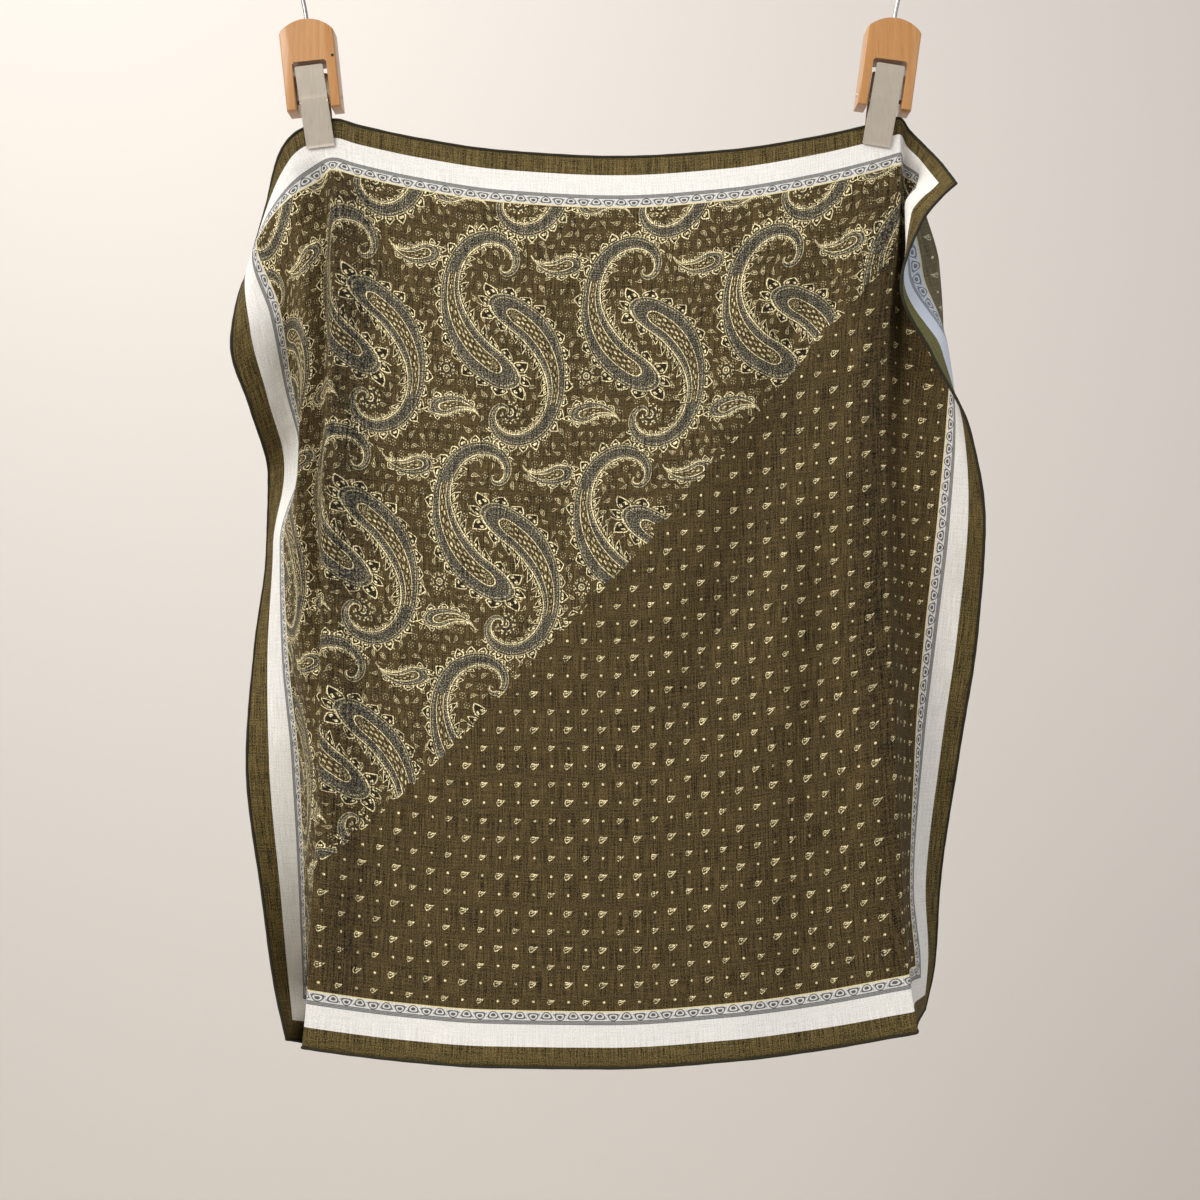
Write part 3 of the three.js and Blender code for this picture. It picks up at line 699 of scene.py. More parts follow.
def print_group():
    """The whole print as one group: it turns a flat place into a colour."""
    tree = bpy.data.node_groups.new("scarf print", "ShaderNodeTree")
    tree.interface.new_socket("Flat place", in_out="INPUT", socket_type="NodeSocketVector")
    for colour_name in PRINT_COLOURS:
        tree.interface.new_socket(colour_name, in_out="INPUT", socket_type="NodeSocketColor")
    tree.interface.new_socket("Colour", in_out="OUTPUT", socket_type="NodeSocketColor")
    tree.interface.new_socket("Thread", in_out="OUTPUT", socket_type="NodeSocketFloat")
    given = tree.nodes.new("NodeGroupInput")
    taken = tree.nodes.new("NodeGroupOutput")
    colours = {name: Wire(tree, given.outputs[name]) for name in PRINT_COLOURS}
    split = tree.nodes.new("ShaderNodeSeparateXYZ")
    tree.links.new(given.outputs["Flat place"], split.inputs[0])
    u = Wire(tree, split.outputs[0])
    v = Wire(tree, split.outputs[1])
    from_side = least(u, SIDE - u)
    from_end = least(v, SIDE - v)
    from_edge = least(from_side, from_end)
    along = below(from_side, from_end) * v + above(from_side, from_end - 0.001) * u

    # Paisley half: sprigs, rosettes, then the commas from the smallest to the largest
    paisley = blended(tree, sprig_lines(u, v), colours["ground"], colours["cream"])
    for (centre_u, centre_v), size in ROSETTES:
        x = repeat(u, PAISLEY_REPEAT[0], centre_u)
        y = repeat(v, PAISLEY_REPEAT[1], centre_v)
        radius = root(x * x + y * y) / size
        angle = y.math("ARCTAN2", x)
        petals = between(radius, *PETALS) * above(sine(angle * PETAL_COUNT), 0.0)
        dashes = between(radius, *OUTER_RING) * above(sine(angle * (2 * PETAL_COUNT)), OUTER_DASH)
        tips = petals * above(radius, PETAL_TIP)
        rings = either(between(radius, *INNER_RING), below(radius, ROSETTE_MIDDLE), tips, dashes)
        paisley = blended(tree, below(radius, ROSETTE_GROUND), paisley, colours["ground"])
        paisley = blended(tree, petals, paisley, colours["slate"])
        paisley = blended(tree, rings * ROSETTE_PALE, paisley, colours["cream"])
    stipple = above(noise(tree, given.outputs["Flat place"], STIPPLE_SCALE, 1.0), STIPPLE_EDGE)
    body_colour = blended(tree, stipple * STIPPLE_SHARE, colours["slate"], colours["cream"])
    (first_x, first_y), (second_x, second_y) = [comma_place(u, v, *row) for row in DROP_PLACES]
    in_first = below(abs(repeat(v, PAISLEY_REPEAT[1], DROP_PART[0])), DROP_PART[1])
    # the second drop is the first one turned half round, so one comma serves both
    drop_x = in_first * (first_x + second_x) - second_x
    drop_y = in_first * (first_y + second_y) - second_y
    commas = [comma_layers(drop_x, drop_y, DROP_TURN, DROP_SIZE, *DROP)]
    for spot, lead, turn, size in LARGE_PLACES:
        commas.append(comma_layers(*comma_place(u, v, spot, lead), turn, size, *LARGE))
    for clear, in_leaf, body, core, lines in commas:
        paisley = blended(tree, clear, paisley, colours["ground"])
        paisley = blended(tree, in_leaf, paisley, colours["shade"])
        paisley = blended(tree, body, paisley, body_colour)
        paisley = blended(tree, core, paisley, colours["ground"])
        paisley = blended(tree, lines, paisley, colours["cream"])

    # Foulard half: commas on the whole pitches, smaller ones between them, and dots in the places left
    cell = FIELD_PITCH / 2
    near_x = repeat(u - BAND_EDGE, cell, cell / 2)
    near_y = repeat(v - BAND_EDGE, cell, cell / 2)
    on_large_x = below(abs(repeat(u - BAND_EDGE, FIELD_PITCH, 1.5 * cell)), cell / 2)
    on_large_y = below(abs(repeat(v - BAND_EDGE, FIELD_PITCH, 1.5 * cell)), cell / 2)
    on_comma = below(abs(on_large_x - on_large_y), 0.5)
    foulard = either(*little_comma(near_x, near_y, on_large_x * FIELD_COMMA_MORE + FIELD_COMMA)) * on_comma
    dots = below(near_x * near_x + near_y * near_y, FIELD_DOT) * (1.0 - on_comma)
    foulard = blended(tree, either(foulard, dots) * FIELD_PALE, colours["ground"], colours["cream"])

    # Narrow band: fine grey lines, then small commas turned alternately up and down, then a pale line
    step = repeat(along, BAND_PITCH, SIDE / 2)
    flip = below(abs(repeat(along, 2 * BAND_PITCH, SIDE / 2)), BAND_PITCH / 2) * 2.0 - 1.0
    deep = (from_edge - MOTIF_LINE) * flip - BAND_ARCH * step * step + BAND_RAISE
    ring = root(step * step / BAND_WIDE + deep * deep / BAND_TALL)
    motif = either(between(ring, *BAND_RING), below(ring, BAND_MIDDLE)) * FIELD_PALE
    aside = abs(step) - BAND_DOT_STEP
    motif = either(motif, below(root(aside * aside + deep * deep), BAND_DOT) * BAND_DOT_PALE)
    stripes = GREY_LEAST + GREY_MORE * above(sine(from_edge * GREY_RATE), 0.0)
    grey_lines = between(from_edge, WHITE_EDGE, GREY_EDGE) * stripes
    band = blended(tree, motif, colours["white"], colours["ink"])
    band = blended(tree, either(grey_lines, BAND_TINT), band, colours["ink"])
    band = blended(tree, above(from_edge, BAND_EDGE - 1.0), band, colours["cream"])

    # The two halves meet on the diagonal, and the borders lie over them
    wander = noise(tree, given.outputs["Flat place"], SPLIT_SCALE, 1.0)
    split_line = u + v + (wander - 0.5) * SPLIT_STRAY
    colour = blended(tree, above(split_line, SIDE), paisley, foulard)
    colour = blended(tree, below(from_edge, BAND_EDGE), colour, band)
    colour = blended(tree, below(from_edge, WHITE_EDGE), colour, colours["white"])
    colour = blended(tree, below(from_edge, OLIVE_EDGE), colour, colours["olive"])
    tree.links.new(colour.socket, taken.inputs["Colour"])
    whites = between(from_edge, OLIVE_EDGE, BAND_EDGE)
    tree.links.new((1.0 - whites * WHITE_SMOOTH).socket, taken.inputs["Thread"])
    return tree


scarf_print = print_group()


# the threads' tone: stretch of the warp's and the weft's noise, the grain's scale, and the strength of each
WARP_SCALE = (1.3, 0.045, 1)
WEFT_SCALE = (0.05, 1.2, 1)
GRAIN_SCALE = 1.1
WARP_TONE = 1.0
WEFT_TONE = 0.55
GRAIN_TONE = 1.1
# shares of warp and weft in the weave, then its relief's height in metres and strength
WARP_SHARE = 0.6
WEFT_SHARE = 0.4
WEAVE_RELIEF = (0.00012, 0.6)
CLOTH_ROUGHNESS = 0.88
CLOTH_SHINE = 0.22


def printed_cloth(name, colours, strength):
    material, tree, shader = finish_of(name, CLOTH_ROUGHNESS)
    shader.inputs["Specular IOR Level"].default_value = CLOTH_SHINE
    flat = tree.nodes.new("ShaderNodeAttribute")
    flat.attribute_name = "flat_mm_and_shade"
    place = flat.outputs["Vector"]
    printed = tree.nodes.new("ShaderNodeGroup")
    printed.node_tree = scarf_print
    tree.links.new(place, printed.inputs["Flat place"])
    for colour_name, colour in colours.items():
        printed.inputs[colour_name].default_value = colour
    warp = noise(tree, mapped(tree, place, WARP_SCALE), 1.0, 2.0)
    weft = noise(tree, mapped(tree, place, WEFT_SCALE), 1.0, 2.0)
    grain = noise(tree, place, GRAIN_SCALE, 1.0)
    streak = (warp - 0.5) * WARP_TONE + (weft - 0.5) * WEFT_TONE + (grain - 0.5) * GRAIN_TONE
    tone = tree.nodes.new("ShaderNodeHueSaturation")
    tree.links.new(printed.outputs["Colour"], tone.inputs["Color"])
    share = Wire(tree, printed.outputs["Thread"])
    parts = tree.nodes.new("ShaderNodeSeparateXYZ")
    tree.links.new(place, parts.inputs[0])
    painted_shade = Wire(tree, parts.outputs[2])
    # painted shade: the fold shade darkens the print, and the white borders take little of it
    connect(tree, (streak * share * strength + 1.0) * (1.0 - painted_shade * share), tone.inputs["Value"])
    tree.links.new(tone.outputs[0], shader.inputs["Base Color"])
    weave = warp * WARP_SHARE + weft * WEFT_SHARE
    tree.links.new(bumped(tree, weave, *WEAVE_RELIEF), shader.inputs["Normal"])
    return material


printed_face = printed_cloth("printed silk face", PRINT_COLOURS, 3.4)
printed_reverse = printed_cloth("printed silk reverse", REVERSE_COLOURS, 1.5)
silk_sheet = mesh_piece("silk_sheet", np.vstack([face_spots, reverse_spots]) * MM, sheet_faces,
                        [printed_face, printed_reverse])
silk_sheet.data.polygons.foreach_set("material_index", face_slots)
flat_places_and_shade = np.zeros((2 * layer, 3), np.float32)
# the flat place's third value carries the painted fold shade
flat_places_and_shade[:, 2] = np.tile(np.concatenate([strips(ACROSS, low, PAINTED_FOLD_SHADE, PAINTED_SHADE_ENDS) for low in DOWN]), 2)
flat_places_and_shade[:, 0] = np.tile(np.tile(ACROSS, rows), 2)
flat_places_and_shade[:, 1] = np.tile(np.repeat(DOWN, columns), 2)
flat_attribute = silk_sheet.data.attributes.new("flat_mm_and_shade", "FLOAT_VECTOR", "POINT")
flat_attribute.data.foreach_set("vector", flat_places_and_shade.ravel())
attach(silk_sheet, "root")
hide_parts("scarf_cloth")


# The rolled hem: the square's four edges, rolled over by hand to a cord about 2 mm thick and sewn down.
# It is the cloth itself, the olive folded over on itself, with painted shade that makes it nearly black along
# the roll.
HEM_ROLL_R = 1.05
HEM_ROLL_SIDES = 10
# how the roll swells along its length: share and rate of the fine swells, then of the slow ones
FINE_SWELL = (0.05, 0.9)
SLOW_SWELL = (0.04, 0.37)
# the scales of the painted shade's mottling and of the relief, and the relief's height in metres and strength
HEM_MOTTLE = 700.0
HEM_RELIEF_SCALE = 1500.0
HEM_RELIEF = (0.0002, 0.6)


def swept(path, across_dirs, radius, sides, name, material):
    """A tube along a path. across_dirs gives each place's first cross direction."""
    path = np.asarray(path, float)
    tangent = np.gradient(path, axis=0)
    tangent /= np.linalg.norm(tangent, axis=1, keepdims=True)
    first = across_dirs - tangent * np.sum(across_dirs * tangent, axis=1, keepdims=True)
    first /= np.linalg.norm(first, axis=1, keepdims=True)
    second = np.cross(tangent, first)
    turns = np.arange(sides) * 2 * math.pi / sides
    radius = np.broadcast_to(radius, (len(path),))
    cosines = np.cos(turns)[None, :, None]
    sines = np.sin(turns)[None, :, None]
    ring = first[:, None, :] * cosines + second[:, None, :] * sines
    points = (path[:, None, :] + ring * radius[:, None, None]).reshape(-1, 3)
    faces = []
    for j in range(len(path) - 1):
        for k in range(sides):
            a = j * sides + k
            b = j * sides + (k + 1) % sides
            faces.append((a, b, b + sides, a + sides))
    last = (len(path) - 1) * sides
    faces.append(tuple(reversed(range(sides))))
    faces.append(tuple(last + k for k in range(sides)))
    return mesh_piece(name, points * MM, faces, [material])


def coloured(tree, shader, colour, relief):
    tree.links.new(colour.socket, shader.inputs["Base Color"])
    tree.links.new(relief, shader.inputs["Normal"])


def object_finish(name, roughness, metallic=0.0):
    """A material and its place in the object's own metres."""
    material, tree, shader = finish_of(name, roughness, metallic)
    return material, tree, shader, tree.nodes.new("ShaderNodeTexCoord").outputs["Object"]


def hem_material():
    material, tree, shader, place = object_finish("rolled hem", CLOTH_ROUGHNESS)
    # painted shade: the rolled olive is coloured nearly black, mottled between two dark tones
    mottle = noise(tree, place, HEM_MOTTLE, 3.0)
    colour = blended(tree, mottle, rgb(22, 20, 9), rgb(48, 43, 20))
    coloured(tree, shader, colour, bumped(tree, noise(tree, place, HEM_RELIEF_SCALE, 2.0), *HEM_RELIEF))
    return material


shade_painted_hem = hem_material()
# flat distances from the cloth's edge: the roll's middle, and where a roll ends beside the next one
HEM_MIDDLE = 1.1
ROLL_END = 0.4
# how far inwards a second place is taken, to find the way in from the edge
INWARD_STEP = 0.6
roll_along = stations([
    (ROLL_END, 70, 40), (70, 140, 60), (140, 545, 140), (545, 608, 70), (608, SIDE - ROLL_END, 40),
])
roll_down = stations([(ROLL_END, 150, 90), (150, SIDE - ROLL_END, 230)])


def hem_roll(name, across, down, inward_step):
    along_spots = cloth_places(across, down).reshape(-1, 3)
    inner_across = across + (0 if len(across) > 1 else inward_step)
    inner_down = down + (0 if len(down) > 1 else inward_step)
    inward = cloth_places(inner_across, inner_down).reshape(-1, 3) - along_spots
    run = np.arange(len(along_spots))
    fine = FINE_SWELL[0] * np.sin(run * FINE_SWELL[1])
    slow = SLOW_SWELL[0] * np.sin(run * SLOW_SWELL[1] + 1)
    return swept(along_spots, inward, HEM_ROLL_R * (1 + fine + slow), HEM_ROLL_SIDES, name, shade_painted_hem)


near_edge = np.array([HEM_MIDDLE])
far_edge = np.array([SIDE - HEM_MIDDLE])
hem_rolls = {
    "hem_top": hem_roll("hem_roll_top", roll_along, near_edge, INWARD_STEP),
    "hem_bottom": hem_roll("hem_roll_bottom", roll_along, far_edge, -INWARD_STEP),
    "hem_left": hem_roll("hem_roll_left", near_edge, roll_down, INWARD_STEP),
    "hem_right": hem_roll("hem_roll_right", far_edge, roll_down, -INWARD_STEP),
}
for node_name, roll in hem_rolls.items():
    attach(roll, "root")
    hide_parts(node_name)


# The clips: each has a wood fork with a hook screwed in its crown and a pin across its legs.
# Two bent steel plates turn on the pin inside the fork, pressed together on the cloth by a coil spring.
# The fork is planed beech with a clear lacquer, its edges rounded over. The plates are brushed steel.
BLOCK_WIDE = 38.0
BLOCK_TALL = 63.0
BLOCK_THICK = 22.0
BLOCK_RISE = 8.5
SLOT_HALF = 12.0
SLOT_TOP = 29.5
SLOT_ROUND = 1.0
PIN_DROP = 54.8
PIN_R = 1.4
JAW_HALF = 10.0
JAW_THICK = 1.0
JAW_OPEN = 7.2
# how far out and how high the plate's section runs from the pin: its tip, its bend and its top
JAW_PATH = [(1.15, -33.6), (1.3, -31.8), (7.05, -0.9), (7.2, 0.0), (7.3, 0.9), (10.9, 22.0)]
# a nail hole in the front of the left fork, in metres, its dark inside painted on the wood as shade
NAIL_PLACE = (-0.1878, -0.0112, -0.0955)
NAIL_R = 0.0011


# the wood's growth rings and pores: scales across, through and along the grain
RING_SCALE = (420, 160, 9)
PORE_SCALE = (1900, 900, 60)
PORE_EDGE = 0.64
PORE_SHARE = 0.35
LACQUER_COAT = 0.25
# height in metres and strength of the wood's and the brushed steel's relief
WOOD_RELIEF = (0.0003, 0.4)
BRUSH_RELIEF = (0.00015, 0.5)
# the share of the brushing, and of the patches, in the steel's tone, and the patches' scale
BRUSH_SHARE = 0.7
PATCH_SHARE = 0.3
PATCH_SCALE = 90.0


def wood_material():
    material, tree, shader, place = object_finish("lacquered beech", 0.38)
    rings = noise(tree, mapped(tree, place, RING_SCALE), 1.0, 4.0)
    pores = noise(tree, mapped(tree, place, PORE_SCALE), 1.0, 1.0)
    colour = blended(tree, rings, rgb(174, 116, 60), rgb(204, 152, 93))
    colour = blended(tree, above(pores, PORE_EDGE) * PORE_SHARE, colour, rgb(140, 88, 44))
    from_nail = tree.nodes.new("ShaderNodeVectorMath")
    from_nail.operation = "DISTANCE"
    tree.links.new(place, from_nail.inputs[0])
    from_nail.inputs[1].default_value = NAIL_PLACE
    nail_hole_shade = below(Wire(tree, from_nail.outputs["Value"]), NAIL_R)
    # painted shade: the nail hole is a dark dot on the flat wood, not a hollow
    colour = blended(tree, nail_hole_shade, colour, rgb(34, 24, 16))
    coloured(tree, shader, colour, bumped(tree, rings, *WOOD_RELIEF))
    shader.inputs["Coat Weight"].default_value = LACQUER_COAT
    return material


def metal_material(name, dark, light, roughness, brush_scale):
    material, tree, shader, place = object_finish(name, roughness, 0.85)
    brush = noise(tree, mapped(tree, place, brush_scale), 1.0, 3.0)
    patch = noise(tree, place, PATCH_SCALE, 2.0)
    colour = blended(tree, brush * BRUSH_SHARE + patch * PATCH_SHARE, dark, light)
    coloured(tree, shader, colour, bumped(tree, brush, *BRUSH_RELIEF))
    return material


beech = wood_material()
brushed = metal_material("brushed steel", rgb(176, 165, 148), rgb(226, 214, 196), 0.45, (2600, 300, 70))
drawn = metal_material("drawn wire", rgb(150, 150, 148), rgb(206, 204, 200), 0.3, (900, 900, 900))
for name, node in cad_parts.items():
    if name.startswith(("left_", "right_")):
        node.data.materials.clear()
        node.data.materials.append(beech if name.endswith("_block") else brushed)


def fork_outline():
    half = BLOCK_WIDE / 2
    radius = (half * half + BLOCK_RISE * BLOCK_RISE) / (2 * BLOCK_RISE)
    swing = math.asin(half / radius)
    crown = [(radius * math.sin(t), radius * math.cos(t) - radius) for t in np.linspace(-swing, swing, 25)]
    turns = np.linspace(0, math.pi / 2, 7)
    flat = SLOT_HALF - SLOT_ROUND
    low = SLOT_TOP + SLOT_ROUND
    right = [(flat + SLOT_ROUND * math.cos(t), SLOT_ROUND * math.sin(t) - low) for t in turns]
    left = [(-x, z) for x, z in reversed(right)]
    return crown + [(half, -BLOCK_TALL), (SLOT_HALF, -BLOCK_TALL)] + right + left + [
        (-SLOT_HALF, -BLOCK_TALL), (-half, -BLOCK_TALL)]


def placed(piece, matrix):
    """Turn the points themselves, so that the piece stays unturned at the origin."""
    piece.data.transform(matrix)
    piece.data.update()
    return piece


def from_bmesh(name, shape, material, sharp=0.6):
    mesh = bpy.data.meshes.new(name)
    bmesh.ops.recalc_face_normals(shape, faces=shape.faces)
    shape.to_mesh(mesh)
    shape.free()
    mesh.materials.append(material)
    piece = bpy.data.objects.new(name, mesh)
    bpy.context.scene.collection.objects.link(piece)
    mesh.shade_smooth()
    mesh.set_sharp_from_angle(angle=sharp)
    return piece


FORK_ROUND = 1.5


def rounded_fork(name):
    shape = bmesh.new()
    back = [shape.verts.new((x, BLOCK_THICK / 2, z)) for x, z in fork_outline()]
    front = [shape.verts.new((x, -BLOCK_THICK / 2, z)) for x, z in fork_outline()]
    caps = [shape.faces.new(back), shape.faces.new(list(reversed(front)))]
    for k in range(len(back)):
        following = (k + 1) % len(back)
        shape.faces.new((back[k], front[k], front[following], back[following]))
    rim = list(dict.fromkeys(edge for cap in caps for edge in cap.edges))
    bmesh.ops.bevel(
        shape, geom=rim, offset=FORK_ROUND, segments=4, profile=0.5, affect="EDGES", clamp_overlap=True)
    bmesh.ops.triangulate(shape, faces=[face for face in shape.faces if len(face.verts) > 4])
    return from_bmesh(name, shape, beech)


# the plate's rounded corners and edges, and the length of the close rows at its ends
PLATE_CORNER = 1.0
PLATE_EDGE = 0.15
PLATE_END = 3
# each ear: how far it runs into the plate, its half height there and at the pin, its reach past the pin,
# how far it is shifted towards the plate and its half thickness
EAR_ROOT = 0.6
EAR_ROOT_HALF = 3.5
EAR_HALF = 3.4
EAR_REACH = 3
EAR_SHIFT = 0.1
EAR_THICK_HALF = 0.45


def plate_places(at):
    """Places along the plate's section, close together where it bends and where its corners are rounded."""
    bend_from = at[2]
    bend_to = at[4]
    end = at[-1]
    return np.r_[
        np.linspace(0, PLATE_END, 7), np.linspace(PLATE_END + 1, bend_from, 8),
        np.linspace(bend_from, bend_to, 6)[1:], np.linspace(bend_to, end - PLATE_END, 8)[1:],
        np.linspace(end - PLATE_END, end, 7)[1:]]


def bent_plate(name, side, ear_x):
    """A plate on JAW_PATH with rounded corners, and an ear at each side that reaches round the pin."""
    path = np.array(JAW_PATH)
    at = np.r_[0, np.cumsum(np.linalg.norm(np.diff(path, axis=0), axis=1))]
    places = plate_places(at)
    out = np.interp(places, at, path[:, 0])
    high = np.interp(places, at, path[:, 1])
    near = np.clip(np.minimum(places, at[-1] - places), 0, PLATE_CORNER)
    half = JAW_HALF - PLATE_CORNER + np.sqrt(PLATE_CORNER * PLATE_CORNER - (PLATE_CORNER - near) ** 2)
    slope = np.stack([np.gradient(out, places), np.gradient(high, places)], axis=1)
    slope /= np.linalg.norm(slope, axis=1, keepdims=True)
    shape = bmesh.new()
    rows = []
    layers = ((0, PLATE_EDGE), (PLATE_EDGE, 0), (JAW_THICK - PLATE_EDGE, 0), (JAW_THICK, PLATE_EDGE))
    for k in range(len(places)):
        left = []
        right = []
        for layer_out, edge in layers:
            y = side * (out[k] + slope[k, 1] * layer_out)
            z = high[k] - slope[k, 0] * layer_out
            left.append(shape.verts.new((edge - half[k], y, z)))
            right.append(shape.verts.new((half[k] - edge, y, z)))
        rows.append(left + right[::-1])
    count = len(rows[0])
    for low, top in zip(rows, rows[1:]):
        for k in range(count):
            shape.faces.new((low[k], low[(k + 1) % count], top[(k + 1) % count], top[k]))
    shape.faces.new(rows[0])
    shape.faces.new(list(reversed(rows[-1])))
    root_out = JAW_OPEN + EAR_ROOT
    turns = np.linspace(-math.pi / 2, math.pi / 2, 9)
    outline = [(root_out, -EAR_ROOT_HALF)]
    outline += [(-EAR_REACH * math.cos(t) + EAR_SHIFT, EAR_HALF * math.sin(t)) for t in turns]
    outline.append((root_out, EAR_ROOT_HALF))
    for sign in (-1, 1):
        sides = []
        for shift in (-EAR_THICK_HALF, EAR_THICK_HALF):
            sides.append([shape.verts.new((sign * ear_x + shift, side * y, z)) for y, z in outline])
        shape.faces.new(sides[0])
        shape.faces.new(list(reversed(sides[1])))
        for k in range(len(outline)):
            j = (k + 1) % len(outline)
            shape.faces.new((sides[0][k], sides[0][j], sides[1][j], sides[1][k]))
    return from_bmesh(name, shape, brushed, 0.5)


PIN_PROUD = 0.8
# the pin's domed end: how far from the tip, and the radius there
PIN_DOME = [(0, 0.5), (0.15, 1.0), (0.6, PIN_R)]
PIN_SIDES = 20


def domed_pin(name):
    long = BLOCK_WIDE / 2 + PIN_PROUD
    profile = [(-long + inset, radius) for inset, radius in PIN_DOME]
    profile += [(long - inset, radius) for inset, radius in reversed(PIN_DOME)]
    path = np.array([(x, 0, 0) for x, _ in profile])
    radii = np.array([radius for _, radius in profile])
    return swept(path, np.tile([0.0, 0.0, 1.0], (len(path), 1)), radii, PIN_SIDES, name, brushed)


COIL_WIRE = 0.6
COIL_R = 2.5
COIL_TURNS = 3.5
COIL_PITCH = 1.9
COIL_LEG = 13.0
COIL_SPLAY = 5.6


COIL_STEPS = 130
LEG_STEPS = 12
# the share of a leg's length at which its last place stands off the coil
LEG_START = 0.04
COIL_SIDES = 10


def coil(name):
    half = COIL_TURNS * COIL_PITCH / 2
    turns = math.pi * (1 + 2 * COIL_TURNS * np.linspace(0, 1, COIL_STEPS))
    along = np.linspace(-half, half, COIL_STEPS)
    body = np.stack([along, -COIL_R * np.cos(turns), COIL_R * np.sin(turns)], axis=1)
    leg = np.linspace(1, LEG_START, LEG_STEPS)[:, None]
    start = body[0] + leg * np.array([0, COIL_SPLAY, COIL_LEG])
    end = body[-1] + leg[::-1] * np.array([0, -COIL_SPLAY, COIL_LEG])
    path = np.vstack([start, body, end])
    tilt = np.tile([1.0, 0.05, 0.02], (len(path), 1))
    return swept(path, tilt, COIL_WIRE, COIL_SIDES, name, drawn)


# The hooks: galvanised wire, screwed in the fork's crown, led up behind the rail and over it.
# Their upper ends are plain open rings that hang over the rail.
HOOK_WIRE = 1.5
HOOK_R = 15.5
HOOK_NECK = 30.0
# the straight stretch above the crown, the reach of the bends, the foot's depth in the wood, and the ring's
# length in half turns
HOOK_LIP = 3.0
HOOK_REACH = 10
HOOK_FOOT = 10.5
HOOK_WRAP = 1.12
# steps along the rise, the bend and the ring, and the wire's sides
RISE_STEPS = 24
BEND_STEPS = 40
RING_STEPS = 60
HOOK_SIDES = 16
# the radii of the wire's last places, where its end is rounded
HOOK_TIP = (1.45, 1.2, 0.7)


def bezier(a, b, c, d, count):
    t = np.linspace(0, 1, count)[:, None]
    a, b, c, d = (np.array(p, float) for p in (a, b, c, d))
    return a * (1 - t) ** 3 + 3 * b * t * (1 - t) ** 2 + 3 * c * t * t * (1 - t) + d * t ** 3


def hook(name, rail_x, apex, lean):
    axis = np.array([-math.sin(lean), 0, math.cos(lean)])
    crown = np.array([apex[0], 0, apex[1]])
    lip = crown + axis * HOOK_LIP
    neck = np.array([rail_x, 0, -HOOK_NECK])
    under_neck = neck - np.array([0, 0, HOOK_REACH])
    turns = np.linspace(0, math.pi * HOOK_WRAP, RING_STEPS)
    ring = np.stack([np.full(RING_STEPS, rail_x), HOOK_R * np.cos(turns), HOOK_R * np.sin(turns)], axis=1)
    rise = bezier(lip, lip + axis * HOOK_REACH, under_neck, neck, RISE_STEPS)
    over_neck = (rail_x, 0, HOOK_REACH - HOOK_NECK)
    bend = bezier(neck, over_neck, (rail_x, HOOK_R, -HOOK_R), (rail_x, HOOK_R, 0), BEND_STEPS)
    path = np.vstack([crown - axis * HOOK_FOOT, rise, bend[1:], ring[1:]])
    radius = np.full(len(path), HOOK_WIRE)
    radius[-len(HOOK_TIP):] = HOOK_TIP
    return swept(path, np.tile([1.0, 0.0, 0.0], (len(path), 1)), radius, HOOK_SIDES, name, drawn)


# side, rail x, apex of the fork, the fork's lean and the plates' lean in degrees
CLIPS = [("left", -214, (-207.5, -70.1), 6.0, 7.4), ("right", 215, (208, -69.4), -7.6, -9.4)]
# how far the ears stand from the middle: the front plate's at its edges, the back plate's inside them
FRONT_EAR_X = JAW_HALF - 0.5
BACK_EAR_X = JAW_HALF - 2.1
for side_name, rail_x, apex, block_lean, jaw_lean in CLIPS:
    block_turn = Matrix.Rotation(-math.radians(block_lean), 4, "Y")
    block_at = Matrix.Translation((apex[0] * MM, 0, apex[1] * MM)) @ block_turn
    pin_turn = Matrix.Rotation(-math.radians(jaw_lean - block_lean), 4, "Y")
    pin_at = block_at @ Matrix.Translation((0, 0, -PIN_DROP * MM)) @ pin_turn
    in_mm = Matrix.Scale(MM, 4)
    clip_pieces = {
        "block": placed(rounded_fork(f"{side_name}_wood_fork"), block_at @ in_mm),
        "front_jaw": placed(bent_plate(f"{side_name}_front_plate", -1, FRONT_EAR_X), pin_at @ in_mm),
        "back_jaw": placed(bent_plate(f"{side_name}_back_plate", 1, BACK_EAR_X), pin_at @ in_mm),
        "pin": placed(domed_pin(f"{side_name}_cross_pin"), pin_at),
        "spring": placed(coil(f"{side_name}_coil_spring"), pin_at),
        "hook": hook(f"{side_name}_wire_hook", rail_x, apex, math.radians(block_lean)),
    }
    for part, piece in clip_pieces.items():
        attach(piece, "root")
        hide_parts(f"{side_name}_{part}")


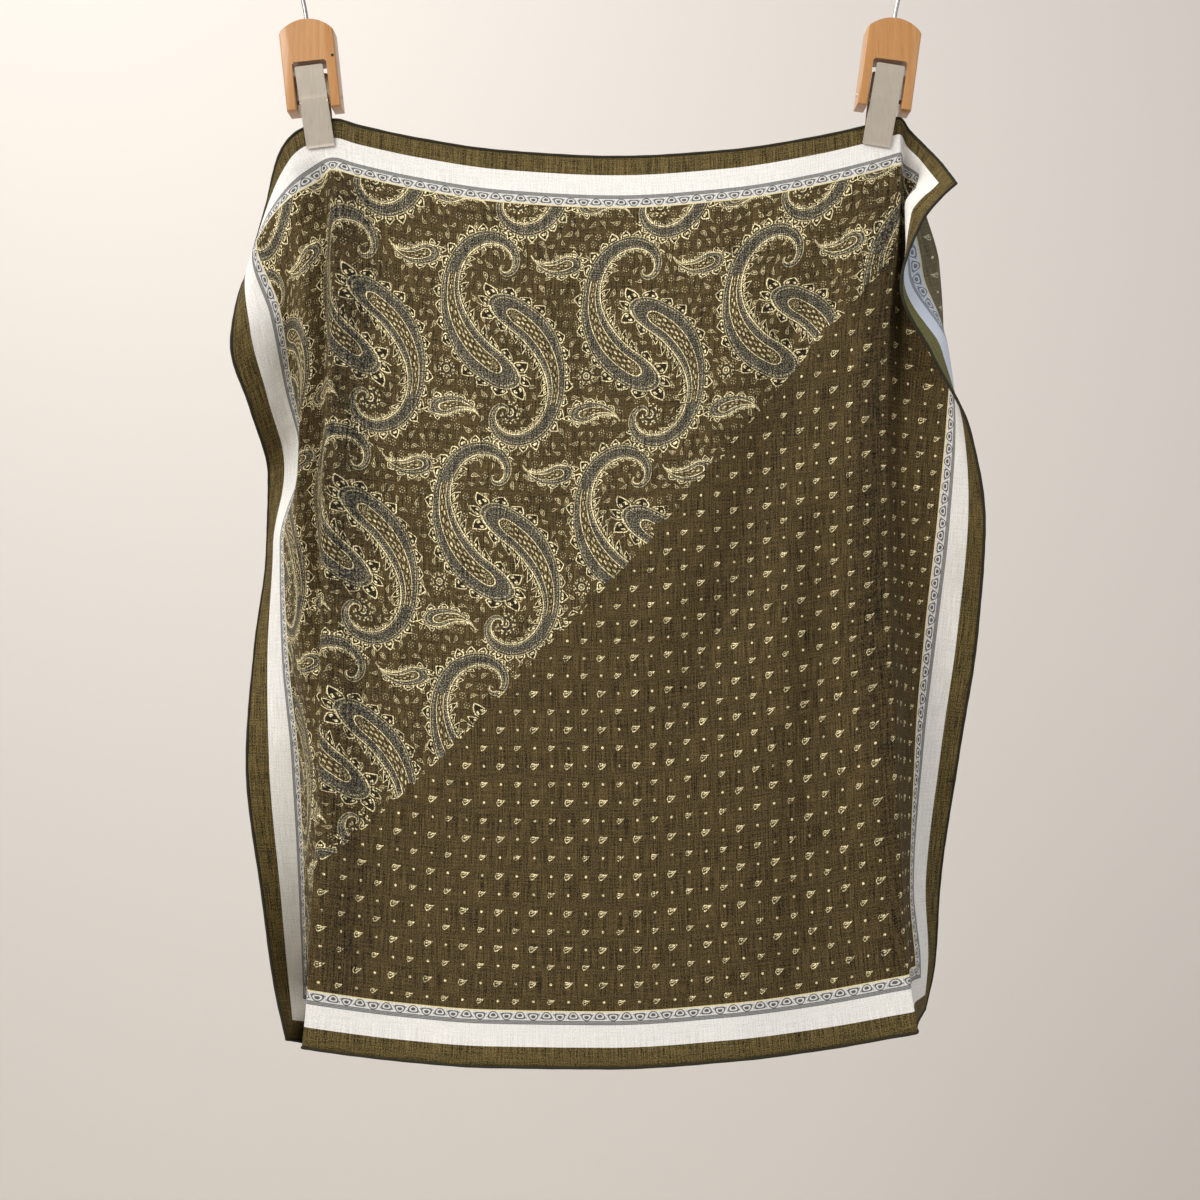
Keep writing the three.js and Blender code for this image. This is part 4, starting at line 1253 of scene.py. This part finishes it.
# The studio: a pale wall behind, a floor below, soft light from the front and a light on the wall.
# The camera stands straight in front of the cloth.
def stage_plane(name, size, place, turn, colour):
    bpy.ops.mesh.primitive_plane_add(size=size, location=place, rotation=turn)
    plane = bpy.context.object
    plane.name = name
    material, _, shader = finish_of(name, 0.9)
    shader.inputs["Base Color"].default_value = colour
    plane.data.materials.append(material)


stage_plane("studio_wall", 10, (0, 2.5, 0), (math.pi / 2, 0, 0), rgb(233, 226, 218))
stage_plane("studio_floor", 10, (0, 0, -2.4), (0, 0, 0), rgb(232, 226, 218))


# name, place, target, size, watts and colour of each light
LIGHTS = [
    ("key", (-1.6, -2.1, 1.0), (0, 0, -0.5), (1.5, 1.5), 61, (1, 0.985, 0.955)),
    ("fill", (1.8, -2.2, -0.2), (0, 0, -0.5), (2.0, 2.0), 16, (0.98, 0.985, 1)),
    ("top", (-0.4, -0.5, 1.5), (0, 0, -0.4), (2.2, 1.2), 11, (1, 1, 0.98)),
    ("wall", (-1.3, 0.6, 1.5), (0.0, 2.5, -0.5), (2.0, 2.0), 38, (1, 0.985, 0.97)),
]
for name, place, target, size, watts, colour in LIGHTS:
    data = bpy.data.lights.new(name, "AREA")
    data.shape = "RECTANGLE"
    data.size, data.size_y = size
    data.energy = watts
    data.color = colour
    light = bpy.data.objects.new(name, data)
    light.location = place
    light.rotation_euler = (Vector(target) - Vector(place)).to_track_quat("-Z", "Y").to_euler()
    bpy.context.scene.collection.objects.link(light)
world = bpy.data.worlds.new("studio")
world.use_nodes = True
world.node_tree.nodes["Background"].inputs[0].default_value = (0.95, 0.96, 1, 1)
world.node_tree.nodes["Background"].inputs[1].default_value = 0.34
bpy.context.scene.world = world
bpy.context.scene.view_settings.view_transform = "Standard"

# the camera's sensor, and the width in millimetres that it sees at the cloth
SENSOR = 36
SEEN_WIDE = 1200 * 0.708
camera_data = bpy.data.cameras.new("front")
camera_data.sensor_width = SENSOR
camera_data.lens = SENSOR * VIEW / SEEN_WIDE
camera = bpy.data.objects.new("front", camera_data)
camera.location = (0, -VIEW * MM, EYE_Z * MM)
camera.rotation_euler = (math.pi / 2, 0, 0)
bpy.context.scene.collection.objects.link(camera)
bpy.context.scene.camera = camera
